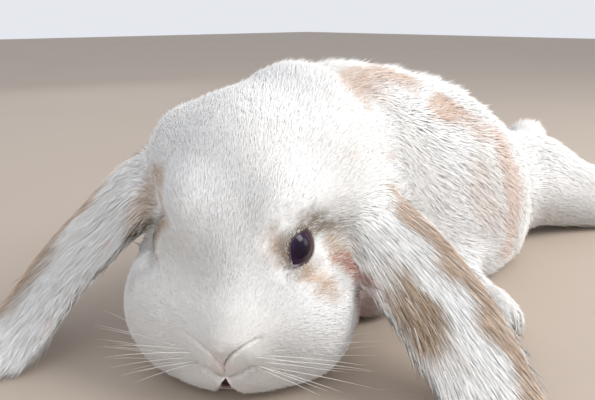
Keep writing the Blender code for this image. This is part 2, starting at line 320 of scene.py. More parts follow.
@dataclass(frozen=True)
class HeadAxes:
    """The head's own axes: forward along the face, left, and up, in millimetres."""

    origin: tuple[float, float, float]
    forward: tuple[float, float, float]
    left: tuple[float, float, float]

    @classmethod
    def from_eyes(cls, ahead: float = 22.2) -> "HeadAxes":
        """Read the axes from the two eye nodes.

        Args:
            ahead: how far the eyes lie ahead of the origin, in millimetres.

        Returns:
            The axes.
        """
        left_eye, right_eye = (np.mean(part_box(name), axis=0) for name in ("eye_left", "eye_right"))
        left = unit(left_eye - right_eye)
        forward = np.cross(left, (0.0, 0.0, 1.0))
        middle = (left_eye + right_eye) / 2 - forward * ahead * MM
        return cls((middle[0], middle[1], 0.0), tuple(forward), tuple(left))

    def inward(self, points: np.ndarray) -> np.ndarray:
        """Return places in metres as forward, left and up in millimetres."""
        moved = points - np.array(self.origin)
        return np.stack([moved @ np.array(self.forward), moved @ np.array(self.left),
                         moved[:, 2]], axis=1) / MM

    def turned(self, vectors: np.ndarray) -> np.ndarray:
        """Return head directions as directions of the whole object."""
        ups = np.array((0.0, 0.0, 1.0))
        return (vectors[:, :1] * np.array(self.forward) + vectors[:, 1:2] * np.array(self.left)
                + vectors[:, 2:] * ups)

    def outward(self, local: np.ndarray) -> np.ndarray:
        """Return head places in millimetres as places in metres."""
        return np.array(self.origin) + self.turned(local) * MM

    def place(self, spot: np.ndarray | tuple[float, float, float]) -> np.ndarray:
        """Return one head place in metres."""
        return self.outward(np.array([spot]))[0]


HEAD = HeadAxes.from_eyes()


@dataclass(frozen=True)
class EyeSocket:
    """One eye's place, and the almond opening of its lids, in head millimetres."""

    side: int
    centre: tuple[float, float, float] = (21.7, 20.3, 58.4)
    radius: float = 9.2
    axis: tuple[float, float, float] = (0.65, 0.83, 0.11)
    corner: tuple[float, float, float] = (0.85, -0.19, -1.04)
    half_length: float = 7.6
    upper: float = 6.1
    lower: float = 4.95

    def axes(self) -> np.ndarray:
        """Give the opening's own directions.

        Returns:
            Rows that point to the front corner, up across the lids, and outwards.
        """
        out = unit(np.array(self.axis))
        front = np.array(self.corner)
        front = unit(front - out * dot(front, out))
        up = np.cross(out, front)
        rows = np.array([front, up * np.sign(up[2]), out])
        rows[:, 1] *= self.side
        return rows

    def middle(self) -> np.ndarray:
        """Return the ball's centre in head millimetres."""
        return np.array(self.centre) * (1, self.side, 1)

    def lids(self, local: np.ndarray) -> dict[str, np.ndarray]:
        """Measure places against the lid opening.

        Args:
            local: places in head millimetres.

        Returns:
            The distance outside the lid edge (negative within), the distance from the
            ball's centre, the arc position across the opening, and the outward direction.
        """
        away = local - self.middle()
        reach = np.linalg.norm(away, axis=1)
        turned = unit(away) @ self.axes().T
        angle = np.arccos(np.clip(turned[:, 2], -1, 1))
        ring = np.maximum(np.hypot(turned[:, 0], turned[:, 1]), 1e-6)
        across = turned[:, :2] / ring[:, None] * (angle * self.radius)[:, None]
        height = np.where(across[:, 1] > 0, self.upper, self.lower)
        height = height * (1 + 0.18 * np.clip(across[:, 0] / self.half_length, -1, 1))
        power = np.where(across[:, 0] > 0, 1.7, 2.3)
        spread = (np.abs(across[:, 0]) / self.half_length) ** power
        gap = (np.abs(across[:, 1]) / height + spread - 1.0) * 0.55 * height
        return {"gap": gap, "reach": reach, "across": across, "out": unit(away)}

    def near(self, local: np.ndarray, low: float, high: float, within: float) -> np.ndarray:
        """Return 1 at the lid opening, falling to 0 between two distances outside its edge.

        Args:
            local: places in head millimetres.
            low, high: the distances.
            within: how far from the ball's centre a place is at most.

        Returns:
            The share of each place.
        """
        lids = self.lids(local)
        return (1 - ease(lids["gap"], low, high)) * (lids["reach"] < within)


SOCKETS = {
    1: EyeSocket(1),
    -1: EyeSocket(-1, centre=(21.4, 22.0, 58.2), axis=(0.06, 0.98, 0.16), upper=5.2),
}


@dataclass(frozen=True)
class Muzzle:
    """Folds of nose and lips on the front of the face, in head millimetres."""

    spot: tuple[float, float, float] = (44.0, 0.0, 21.0)
    nostril: tuple[tuple[float, float], ...] = (
        (0.1, 19.4), (1.4, 22.6), (4.0, 26.8), (7.5, 29.4), (12.0, 31.2))
    lip: tuple[tuple[float, float], ...] = ((0.0, 12.6), (3.2, 14.2), (6.0, 16.2), (9.6, 19.4))

    @staticmethod
    def off_line(line: tuple[tuple[float, float], ...], side: np.ndarray,
                 height: np.ndarray) -> np.ndarray:
        """Return the distance from a mirrored line drawn on the face.

        Args:
            line: points as distance from the middle and height.
            side: distance from the middle of each place.
            height: height of each place.

        Returns:
            The distance of each place, in millimetres.
        """
        best = np.full(len(side), np.inf)
        here = np.stack([np.abs(side), height], axis=1)
        for start, end in zip(np.array(line[:-1]), np.array(line[1:])):
            leg = end - start
            share = np.clip((here - start) @ leg / (leg @ leg), 0, 1)
            best = np.minimum(best, np.linalg.norm(here - start - share[:, None] * leg, axis=1))
        return best

    def front(self, local: np.ndarray) -> np.ndarray:
        """Return 1 on the front of the muzzle, falling to 0 behind it."""
        return ease(local[:, 0], 31, 37) * (1 - ease(np.abs(local[:, 1]), 15, 20))

    def slit(self, local: np.ndarray) -> np.ndarray:
        """Measure how deep places lie in the nostrils, philtrum or mouth.

        Args:
            local: places in head millimetres.

        Returns:
            The depth of each, from 0 to 1.
        """
        side, height = local[:, 1], local[:, 2]
        nostril = np.exp(-(self.off_line(self.nostril, side, height) / 0.6) ** 2)
        fade = (0.80 - 0.5 * ease(np.abs(side), 4, 11)) * np.where(side < 0, 0.55, 1.0)
        groove = np.exp(-(side / 0.6) ** 2) * ease(height, 12, 14) * (1 - ease(height, 18, 21))
        mouth = self.mouth(local)
        return np.maximum(np.maximum(nostril * fade, 0.5 * groove), mouth) * self.front(local)

    @staticmethod
    def mouth(local: np.ndarray) -> np.ndarray:
        """Mark the notch of the mouth, which widens down to the lower lip.

        Args:
            local: places in head millimetres.

        Returns:
            For each 1 in the notch, falling to 0 round it.
        """
        side, height = local[:, 1] + 0.4, local[:, 2]
        gape = np.clip((11.6 - height) * 0.62, 0.0, 4.2)
        open_part = (1 - ease(np.abs(side) - gape, -0.3, 0.9)) * (1 - ease(height, 10.8, 12.2))
        return open_part * ease(height - 0.10 * side ** 2, -1.6, -0.6)

    def swell(self, local: np.ndarray) -> np.ndarray:
        """Give the relief of the muzzle: pads and lips stand out, folds lie in.

        Args:
            local: places in head millimetres.

        Returns:
            How far the skin moves out at each, in millimetres.
        """
        side, height = local[:, 1], local[:, 2]
        pad = 1.2 * np.exp(-((np.abs(side) - 9.0) / 5.0) ** 2 - ((height - 24.0) / 5.0) ** 2)
        nose = 0.9 * np.exp(-(side / 7.0) ** 2 - ((height - 30.0) / 3.5) ** 2)
        lobe = 0.8 * np.exp(-((np.abs(side) - 4.5) / 3.5) ** 2 - ((height - 20.5) / 3.4) ** 2)
        crease = 1.5 * np.exp(-(self.off_line(self.lip, side, height) / 1.1) ** 2)
        deep = 1.8 * self.slit(local) + 1.6 * self.mouth(local)
        return (pad + nose + lobe - crease - deep) * self.front(local)


MUZZLE = Muzzle()


def ear_place(region: Region, points: np.ndarray) -> dict[str, np.ndarray]:
    """Give places in an ear's own terms.

    Args:
        region: which ear.
        points: places in metres.

    Returns:
        The nearest place on the ear's line, with millimetres along and across it, the
        side (positive on the convex back) and the back's direction.
    """
    found = EAR_LINES[region].project(points)
    root, tip = (np.array(face) for face in EAR_FACES[region])
    face = blend_to(np.tile(root, (len(points), 1)), tip, found["share"])
    face = unit(tangent(face, found["way"]))
    cross = np.cross(found["way"], face)
    off = points - found["foot"]
    found.update(along=found["arc"] / MM, across=dot(off, cross) / MM, side=dot(off, face) / MM,
                 face=face)
    return found


@dataclass(frozen=True)
class Paw:
    """The toes of one foot, as grooves that run back from its tip, in millimetres."""

    limb: Region
    width: float
    reach: float
    toes: int = 4

    def groove(self, points: np.ndarray) -> np.ndarray:
        """Find the grooves between the toes.

        Args:
            points: places in metres.

        Returns:
            How deep each place lies in a groove, from 0 to 1.
        """
        line = np.array(LIMB_LINES[self.limb].points) * MM
        way = unit((line[-1] - line[-2]) * (1, 1, 0))
        side = np.cross(way, (0.0, 0.0, 1.0))
        off = (points - line[-1]) / MM
        ahead, across = off @ way, off @ side
        near = (np.linalg.norm(off, axis=1) < self.reach + 6) * ease(ahead, -self.reach, -4)
        cut = np.zeros(len(points))
        for gap in (np.arange(1, self.toes) - self.toes / 2) * self.width / self.toes:
            cut = np.maximum(cut, np.exp(-((across - gap) / 0.9) ** 2))
        return cut * near


PAWS = (*(Paw(limb, 17.0, 12.0) for limb in FORELEGS),
        *(Paw(limb, 19.0, 17.0) for limb in HINDLEGS))


@dataclass(frozen=True)
class Patch:
    """A coloured patch of coat along a line, in millimetres; some are markings, some painted shade.
    """

    path: Path
    radius: float
    soft: float
    colour: tuple[float, float, float]
    strength: float = 1.0
    ragged: float = 2.5

    def share(self, points: np.ndarray) -> np.ndarray:
        """Return how strongly the patch covers each place."""
        off = self.path.project(points)["distance"] / MM
        off = off + Ripple(0.017, 5).at(points) * self.ragged + Ripple(0.006, 8).at(points)
        return self.strength * (1 - ease(off, self.radius - self.soft, self.radius + self.soft))


@dataclass(frozen=True)
class EarPatch:
    """A coloured patch on an ear, in millimetres along and across it."""

    ear: Region
    along: tuple[float, float]
    across: tuple[float, float]
    colour: tuple[float, float, float]
    strength: float = 1.0
    soft: float = 5.0
    side: int = 1

    def share(self, place: dict[str, np.ndarray], points: np.ndarray) -> np.ndarray:
        """Measure how strongly the patch covers places.

        Args:
            place: the places in the ear's own terms.
            points: the same places in metres.

        Returns:
            The strength at each, from 0 to 1.
        """
        wobble = Ripple(0.02, 31).at(points) * 2.4 + Ripple(0.007, 35).at(points) * 1.0
        along = place["along"] + Ripple(0.012, 33).at(points) * 4
        across = place["across"] + wobble
        cover = window(along, self.along, self.soft * 2)
        cover = cover * window(across, self.across, self.soft / 2)
        return self.strength * cover * ease(place["side"] * self.side, -1.5, 0.5)


def on_head(*places: tuple[float, float, float]) -> Path:
    """Return a path given in head millimetres, in the object's axes."""
    moved = HEAD.outward(np.array(places)) / MM
    return Path(tuple(tuple(place) for place in moved))


@dataclass
class MarkingsAndShade:
    """Where the fawn, brown and bare pink places lie on skin and coat alike, and where shade is
    painted onto both: under the brows, by the ear roots and lids, in the lip creases, and on parts
    of cheeks, nose and neck.
    """

    patches: tuple[Patch, ...] = (
        Patch(Path(((-4, -90, 111), (-14, -72, 115), (-15, -58, 115), (-9, -51, 112))), 9, 6, FAWN,
              0.9),
        Patch(Path(((9, -43, 97), (6, -31, 100), (13, -25, 94), (18, -11, 87), (23, 1, 78))), 6.0,
              3.5, FAWN),
        Patch(Path(((23, 0, 77), (27, 3, 66), (29, 6, 50), (30, 5, 38), (29, 5, 22))), 8.5, 4,
              PALE_FAWN, 1.0),
        Patch(Path(((24, -26, 70), (28, -24, 55), (30, -12, 42))), 9, 8, PALE_FAWN, 0.45),
        Patch(Path(((14, -109, 86), (10, -85, 82))), 2.5, 2.5, FAWN, 0.4),
        Patch(Path(((-70, -30, 92), (-78, -12, 74), (-80, 6, 56))), 10, 5, FAWN, 0.85),
        Patch(Path(((-62, 30, 84), (-72, 46, 66))), 9, 5, PALE_FAWN, 0.8),
        Patch(Path(((-34, 84, 76), (-30, 100, 66))), 9, 5, PALE_FAWN, 0.6),
        Patch(on_head((15, -31, 79), (22, -28.5, 73), (27, -26.5, 66)), 5.0, 3.4, TAN, 0.85, 0.8),
        Patch(on_head((9, -36, 79), (7, -36.5, 71), (9, -37, 65)), 4.2, 3.0, TAN, 0.8, 0.8),
        Patch(on_head((34.6, 17.2, 62.6), (34.0, 18.8, 58.6)), 4.8, 3.4, TAN, 1.0, 0.5),
        # Painted shade on the left cheek between eye and ear, dimming the light that falls there.
        Patch(on_head((26, 33, 56), (24, 37, 51), (22, 40, 46)), 4.0, 4.0, GREY, 0.5, 0.5),
        # Painted shade on the nose bump, dimming the lamps' highlight there.
        Patch(on_head((49.5, 0, 27.5)), 4.0, 3.0, GREY, 0.6, 0.5),
        Patch(on_head((29.6, 29, 52), (30.2, 32.5, 49.5), (30.4, 35.5, 46)), 5.4, 4.2, TAN, 1.0,
              1.0),
        Patch(on_head((30, -33, 50), (28, -38, 42)), 3.6, 3.4, GREY, 0.4, 1.0),
        # Partly the grey short fur above the nose, partly painted shade on that lit place.
        Patch(on_head((48.6, 0, 34.5)), 8.5, 6.0, GREY, 0.95, 1.0),
        # Painted shade in the creases of the lips, on both sides.
        Patch(on_head((44, 0, 12.6), (44, 5, 15.4), (44, 9, 18.8)), 0.9, 1.2, TAN, 0.8, 0.3),
        Patch(on_head((44, 0, 12.6), (44, -5, 15.4), (44, -9, 18.8)), 0.9, 1.2, TAN, 0.65, 0.3),
        Patch(on_head((26, 27.5, 66.5), (19, 30.5, 66), (11, 35, 62)), 4.6, 3.6, SHADE_BROWN,
              1.0, 0.6),
        Patch(on_head((14, 33.5, 66), (6, 37.5, 62), (6, 38.5, 55)), 6.5, 6.0, SHADE_BROWN, 0.6,
              1.0),
        # Painted shade, brown, at the top of the recess between the left cheek and the left ear.
        Patch(on_head((12, 36, 57), (14, 38.8, 52.2), (15.5, 41, 49)), 4.2, 3.0, EAR_BROWN, 0.9,
              0.8),
        Patch(on_head((22, -29, 62), (11, -36, 61), (4, -40, 57)), 4.2, 3.2, SHADE_BROWN,
              1.0, 1.0),
        Patch(on_head((16, -35, 56), (14, -39, 50)), 4.0, 3.0, SHADE_BROWN, 0.6, 0.8),
        # Painted shade, pink, down the recess between the left cheek and the left ear.
        Patch(on_head((14.5, 42, 48), (13.6, 44.5, 45), (13.5, 47, 38), (15, 48, 30),
                      (16, 47.5, 22)), 5.0, 3.4, SHADED_PINK, 0.9, 0.6),
        # Painted shade under the left ear, pinkish-brown like the ear's inner lining.
        Patch(Path(((14, -108, 46), (12, -98, 28), (6, -92, 12))), 9, 5, SHADED_PINK, 0.75, 1.0),
    )
    ear_patches: tuple[EarPatch, ...] = (
        EarPatch(Region.EAR_LEFT, (60, 95), (5.5, 30), EAR_BROWN, 1.0),
        EarPatch(Region.EAR_LEFT, (26, 140), (-30, -6.5), TAN, 0.95),
        EarPatch(Region.EAR_LEFT, (66, 108), (-9, -4), EAR_BROWN, 0.4),
        EarPatch(Region.EAR_RIGHT, (30, 116), (6.5, 30), TAN, 1.0),
        EarPatch(Region.EAR_RIGHT, (66, 96), (-1, 10), EAR_BROWN, 0.8),
        EarPatch(Region.EAR_LEFT, (30, 120), (-14, 14), PINK, 0.8, side=-1),
        EarPatch(Region.EAR_RIGHT, (30, 112), (-14, 14), PINK, 0.8, side=-1),
    )

    def colours(self, points: np.ndarray, weights: np.ndarray) -> np.ndarray:
        """Colour places of the surface with the markings and the painted shade.

        Args:
            points: places in metres.
            weights: how much each place belongs to each region.

        Returns:
            A linear colour for each place.
        """
        tint = np.tile(np.array(WHITE), (len(points), 1))
        creamy = 0.35 + 0.35 * Ripple(0.06, 3).at(points)
        tint = blend_to(tint, CREAM, np.clip(creamy, 0, 1) * 0.5)
        for patch in self.patches:
            tint = blend_to(tint, patch.colour, patch.share(points))
        for patch in self.ear_patches:
            own = part_of(weights, patch.ear)
            near = own > 0.05
            place = ear_place(patch.ear, points[near])
            share = np.zeros(len(points))
            share[near] = patch.share(place, points[near]) * ease(own[near], 0.2, 0.6)
            tint = blend_to(tint, patch.colour, share)
        local = HEAD.inward(points)
        for socket in SOCKETS.values():
            lids = socket.lids(local)
            # Painted shade round each eye on the head: full over the upper lid, half as strong
            # below.
            shade = (1 - ease(lids["gap"], 0.6, 3.2)) * (lids["reach"] < 14)
            shade = shade * (0.50 + 0.50 * ease(lids["across"][:, 1], -1.0, 3.0))
            tint = blend_to(tint, SHADE_BROWN, 0.7 * shade * (part_of(weights, Region.HEAD) > 0.1))
        return tint

    def bare(self, points: np.ndarray, weights: np.ndarray) -> np.ndarray:
        """Mark the places where the skin shows.

        Args:
            points: places in metres.
            weights: how much each place belongs to each region.

        Returns:
            For each 1 where it is bare or nearly so, and 0 where the coat is full.
        """
        local = HEAD.inward(points)
        head = part_of(weights, Region.HEAD)
        bare = MUZZLE.slit(local) * head
        nose = np.exp(-(local[:, 1] / 6.0) ** 2 - ((local[:, 2] - 20.5) / 4.5) ** 2)
        bare = np.maximum(bare, 0.75 * nose * MUZZLE.front(local) * head)
        for socket in SOCKETS.values():
            bare = np.maximum(bare, socket.near(local, 0.1, 0.5, 16) * (head > 0.1))
        for ear in EARS:
            own = part_of(weights, ear)
            near = own > 0.3
            place = ear_place(ear, points[near])
            inner = ease(-place["side"], 0.0, 1.5) * (1 - ease(np.abs(place["across"]), 11, 16))
            bare[near] = np.maximum(bare[near], 0.7 * inner * (1 - ease(place["along"], 110, 135)))
        return bare


MARKINGS_AND_SHADE = MarkingsAndShade()


def mesh_from(name: str, corners: np.ndarray, faces: list[np.ndarray]) -> bpy.types.Object:
    """Make one object from arrays.

    Args:
        name: the object's name.
        corners: vertex places.
        faces: arrays of vertex numbers, one array for each number of sides.

    Returns:
        The object, linked into the scene, with smooth faces.
    """
    mesh = bpy.data.meshes.new(name)
    mesh.vertices.add(len(corners))
    mesh.vertices.foreach_set("co", corners.astype(np.float32).ravel())
    loops = np.concatenate([part.ravel() for part in faces]).astype(np.int32)
    sides = np.concatenate([np.full(len(part), part.shape[1]) for part in faces])
    starts = np.concatenate([[0], np.cumsum(sides)[:-1]]).astype(np.int32)
    mesh.loops.add(len(loops))
    mesh.loops.foreach_set("vertex_index", loops)
    mesh.polygons.add(len(sides))
    mesh.polygons.foreach_set("loop_start", starts)
    mesh.update(calc_edges=True)
    mesh.shade_smooth()
    return linked(name, mesh)


def paint(mesh: bpy.types.Mesh, colours: np.ndarray) -> None:
    """Keep a colour for each vertex in the mesh's colour attribute: markings and painted shade
    alike.

    Args:
        mesh: the mesh to colour.
        colours: one linear colour for each vertex.
    """
    layer = mesh.color_attributes.new("marking", "FLOAT_COLOR", "POINT")
    full = np.ones((len(colours), 4), dtype=np.float32)
    full[:, :3] = np.clip(colours, 0, 1)
    layer.data.foreach_set("color", full.ravel())


def spread(values: np.ndarray, edges: np.ndarray, rounds: int,
           pull: np.ndarray | float = 0.5) -> np.ndarray:
    """Even out values over neighbouring vertices.

    Args:
        values: one row for each vertex.
        edges: pairs of vertex numbers.
        rounds: how often to even out.
        pull: how far each vertex goes to its neighbours' mean each time.

    Returns:
        The evened rows.
    """
    count = len(values)
    share = 1.0 / np.maximum(np.bincount(edges.ravel(), minlength=count), 1)
    pull = np.broadcast_to(pull, count)
    values = values.copy()
    for _ in range(rounds):
        for column in range(values.shape[1]):
            line = values[:, column]
            mean = (np.bincount(edges[:, 0], line[edges[:, 1]], count)
                    + np.bincount(edges[:, 1], line[edges[:, 0]], count)) * share
            values[:, column] = line + (mean - line) * pull
    return values


@dataclass(frozen=True)
class Coat:
    """The coat of one region: tufts for each square millimetre, and their shape."""

    per_mm2: float
    length: float
    width: float
    root_lift: float
    tip_lift: float
    depth: float
    clump: float
    standing: float
    jitter: float


COATS = {
    Region.HEAD: Coat(4.3, 4.2, 0.28, 22, 6, 1.6, 0.08, 0.00, 7),
    Region.NECK: Coat(2.1, 9.0, 0.32, 17, 7, 2.6, 0.22, 0.16, 7),
    Region.TRUNK: Coat(1.42, 11.5, 0.38, 17, 7, 3.2, 0.24, 0.10, 7),
    Region.TAIL: Coat(2.4, 10.5, 0.32, 34, 20, 3.6, 0.34, 0.60, 10),
    **dict.fromkeys(EARS, Coat(2.0, 13.0, 0.34, 11, 2.0, 1.3, 0.18, 0.00, 4)),
    **dict.fromkeys(FORELEGS, Coat(1.7, 8.0, 0.38, 22, 8, 2.6, 0.18, 0.02, 9)),
    **dict.fromkeys(HINDLEGS, Coat(1.4, 10.5, 0.38, 17, 7, 2.9, 0.26, 0.05, 7)),
    Region.FOREFOOT: Coat(2.8, 4.6, 0.30, 22, 8, 1.8, 0.25, 0.00, 8),
    Region.HINDFOOT: Coat(2.2, 6.0, 0.32, 22, 8, 2.2, 0.30, 0.01, 8),
}


def by_region(weights: np.ndarray, name: str) -> np.ndarray:
    """Return one of the coat's sizes at each place, mixed by region weight."""
    sizes = np.array([getattr(COATS[region], name) for region in Region])
    return weights @ sizes


@dataclass
class Surface:
    """The finished skin as arrays, for laying the coat on it."""

    points: np.ndarray
    flat: np.ndarray
    normals: np.ndarray
    weights: np.ndarray
    triangles: np.ndarray
    charts: np.ndarray


@dataclass
class Skin:
    """One closed skin inside the flesh solids, with lids, nostrils and lips."""

    voxel: float = 0.0019
    grow: float = 0.0003
    floor_gap: float = 0.0006
    rounds: int = 26

    def gathered(self) -> bpy.types.Object:
        """Join the flesh solids and eyeballs into one rough closed shape.

        Returns:
            The shape as an object.
        """
        joined = bmesh.new()
        for name in (*FLESH, "eye_left", "eye_right"):
            part = opened(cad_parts[name].data)
            bmesh.ops.remove_doubles(part, verts=part.verts, dist=1e-6)
            part.normal_update()
            for vert in part.verts:
                vert.co += vert.normal * self.grow
            pour(part, joined)
        rough = bpy.data.meshes.new("rough")
        closed(joined, rough)
        holder = linked("rough", rough)
        shell = holder.modifiers.new("shell", "REMESH")
        shell.mode = "VOXEL"
        shell.voxel_size = self.voxel
        graph = bpy.context.evaluated_depsgraph_get()
        mesh = bpy.data.meshes.new_from_object(holder.evaluated_get(graph))
        bpy.data.objects.remove(holder)
        return linked("skin", mesh)

    @staticmethod
    def outermost(mesh: bpy.types.Mesh) -> None:
        """Delete every loose shell but the largest.

        Args:
            mesh: the mesh to clear.
        """
        shell = opened(mesh)
        left = set(shell.verts)
        largest: set = set()
        while left:
            start = left.pop()
            island, edge = {start}, [start]
            while edge:
                vert = edge.pop()
                for link in vert.link_edges:
                    other = link.other_vert(vert)
                    if other not in island:
                        island.add(other)
                        edge.append(other)
            left -= island
            largest = max(largest, island, key=len)
        bmesh.ops.delete(shell, geom=[v for v in shell.verts if v not in largest], context="VERTS")
        closed(shell, mesh)

    @staticmethod
    def read(mesh: bpy.types.Mesh) -> tuple[np.ndarray, np.ndarray, np.ndarray]:
        """Return a mesh's vertex places, normals and edges."""
        return (rows_of(mesh.vertices, "co", 3), rows_of(mesh.vertex_normals, "vector", 3),
                rows_of(mesh.edges, "vertices", 2, np.int32))

    @staticmethod
    def write(mesh: bpy.types.Mesh, points: np.ndarray) -> None:
        """Put vertex places back into a mesh."""
        mesh.vertices.foreach_set("co", points.astype(np.float32).ravel())
        mesh.update()

    @staticmethod
    def regions(points: np.ndarray, edges: np.ndarray) -> np.ndarray:
        """Sort vertices by the flesh solid that is nearest.

        Args:
            points: the vertex places.
            edges: pairs of vertex numbers.

        Returns:
            How much each vertex belongs to each region, softened across seams.
        """
        corners, faces, owners = [], [], []
        for name, region in FLESH.items():
            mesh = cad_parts[name].data
            start = len(corners)
            corners.extend(vert.co.copy() for vert in mesh.vertices)
            for face in mesh.polygons:
                faces.append([start + number for number in face.vertices])
                owners.append(region.value)
        tree = BVHTree.FromPolygons(corners, faces)
        weights = np.zeros((len(points), len(Region)))
        for number, point in enumerate(points):
            found = tree.find_nearest(point)
            weights[number, owners[found[2]]] = 1.0
        return spread(weights, edges, 14)

    def sunk(self, points: np.ndarray, normals: np.ndarray, weights: np.ndarray,
             edges: np.ndarray) -> np.ndarray:
        """Smooth the seams and move the skin in by the depth of the coat.

        Args:
            points, normals, weights: the rough skin's vertices.
            edges: its edges.

        Returns:
            The new vertex places.
        """
        ears, feet = part_of(weights, *EARS), part_of(weights, *FEET)
        local = HEAD.inward(points)
        face = part_of(weights, Region.HEAD) * ease(local[:, 0], 0, 25)
        pull = 0.5 - 0.36 * ears - 0.30 * feet - 0.36 * face
        points = spread(points, edges, self.rounds, pull)
        depth = by_region(weights, "depth")
        near_eye = np.zeros(len(points))
        for socket in SOCKETS.values():
            gap = np.linalg.norm(local - socket.middle(), axis=1)
            near_eye = np.maximum(near_eye, 1 - ease(gap, 10, 18))
        depth = depth * (1 - 0.7 * near_eye)
        depth = depth * (1 - 0.4 * MUZZLE.front(local) * part_of(weights, Region.HEAD))
        pressed = ease(-normals[:, 2], 0.15, 0.75) * (1 - ease(points[:, 2], 0.004, 0.020))
        depth = depth * (1 - 0.8 * pressed)
        depth = spread(depth[:, None], edges, 8)[:, 0]
        points = points - normals * (depth * MM)[:, None]
        points = spread(points, edges, 3, 0.4 - 0.25 * ears)
        points[:, 2] = np.maximum(points[:, 2], self.floor_gap)
        return points

    @staticmethod
    def unwrap(skin: bpy.types.Object) -> None:
        """Lay the skin's own shape flat in a map named OFBake.

        Args:
            skin: the skin object.
        """
        skin.data.uv_layers.new(name="OFBake")
        bpy.context.view_layer.objects.active = skin
        skin.select_set(True)
        bpy.ops.object.mode_set(mode="EDIT")
        bpy.ops.mesh.select_all(action="SELECT")
        bpy.ops.uv.smart_project(angle_limit=math.radians(70), island_margin=0.003)
        bpy.ops.object.mode_set(mode="OBJECT")
        skin.select_set(False)

    @staticmethod
    def refined(mesh: bpy.types.Mesh) -> None:
        """Divide the skin finely round the eyes, the muzzle and the toes.

        Args:
            mesh: the skin's mesh.
        """
        face = [(HEAD.place(s.middle()), 0.0155) for s in SOCKETS.values()]
        face.append((HEAD.place(MUZZLE.spot), 0.019))
        feet = [(np.array(LIMB_LINES[paw.limb].points[-1]) * MM, paw.reach * MM) for paw in PAWS]
        for spots in (face + feet, face):
            fine = opened(mesh)
            picked = []
            for edge in fine.edges:
                middle = (edge.verts[0].co + edge.verts[1].co) / 2
                if any((middle - Vector(spot)).length < reach for spot, reach in spots):
                    picked.append(edge)
            bmesh.ops.subdivide_edges(fine, edges=picked, cuts=1, use_grid_fill=True)
            bmesh.ops.triangulate(fine, faces=[f for f in fine.faces if len(f.verts) > 4])
            closed(fine, mesh)

    @staticmethod
    def carved(points: np.ndarray, normals: np.ndarray, weights: np.ndarray) -> np.ndarray:
        """Raise the lids round the eyes and press in nostrils, philtrum and mouth.

        Args:
            points, normals, weights: the skin's vertices.

        Returns:
            The new vertex places.
        """
        head = ease(part_of(weights, Region.HEAD), 0.05, 0.3)
        local = HEAD.inward(points)
        swell = MUZZLE.swell(local) * head
        for paw in PAWS:
            swell = swell - 1.5 * paw.groove(points)
        points = points + normals * (swell * MM)[:, None]
        for socket in SOCKETS.values():
            local = HEAD.inward(points)
            lids = socket.lids(local)
            gap, radius = lids["gap"], socket.radius
            target = np.interp(gap, (-2.0, -0.7, 0.0, 0.5, 1.2, 3.2, 6.0),
                               (radius - 1.8, radius - 1.2, radius + 0.15, radius + 0.75,
                                radius + 1.0, radius + 0.75, radius + 0.6))
            corner = ease(lids["across"][:, 0], 6.0, 7.4) * (gap < 0.4)
            target = np.maximum(target, (radius + 0.1) * corner)
            hold = (1 - ease(gap, 2.6, 7.0)) * (lids["reach"] < 17)
            flank = unit(local - socket.middle()) @ socket.axes()[2]
            hold = hold * ease(flank, -0.25, 0.15) * head
            reach = lids["reach"] + (target - lids["reach"]) * hold
            local = socket.middle() + lids["out"] * reach[:, None]
            points = HEAD.outward(local)
        return points

    @staticmethod
    def tinted(points: np.ndarray, flat: np.ndarray, weights: np.ndarray) -> np.ndarray:
        """Colour the skin: the coat's markings and painted shade over pink, bare at the folds, with
        painted shade in the slits and the mouth's notch.

        Args:
            points, weights: the skin's vertices.
            flat: their places before the folds were pressed in.

        Returns:
            A linear colour for each vertex.
        """
        tint = MARKINGS_AND_SHADE.colours(points, weights)
        bare = MARKINGS_AND_SHADE.bare(flat, weights)
        tint = blend_to(tint, PINK, 0.02 + 0.50 * bare)
        local = HEAD.inward(flat)
        head = part_of(weights, Region.HEAD)
        slit = MUZZLE.slit(local) * head
        # Painted shade in the nostrils, the philtrum and the mouth's notch.
        tint = blend_to(tint, SLIT_SHADE, 0.75 * ease(slit, 0.15, 0.7))
        # The mouth's notch in maroon, down under the chin: partly the mouth's own dark red, partly
        # painted shade in the notch and under the chin.
        gape = ease(MUZZLE.mouth(local) * MUZZLE.front(local) * head, 0.15, 0.6)
        tint = blend_to(tint, MAROON, gape)
        local = HEAD.inward(points)
        for socket in SOCKETS.values():
            lids = socket.lids(local)
            close = (lids["reach"] < 14) * (head > 0.1)
            rim = (1 - ease(lids["gap"], 0.5, 1.3)) * close
            tint = blend_to(tint, LID, 0.95 * rim)
            corner = ease(lids["across"][:, 0], 5.6, 7.0) * (lids["gap"] < 0.5) * close
            tint = blend_to(tint, linear(150, 146, 152), 0.8 * corner)
        return tint

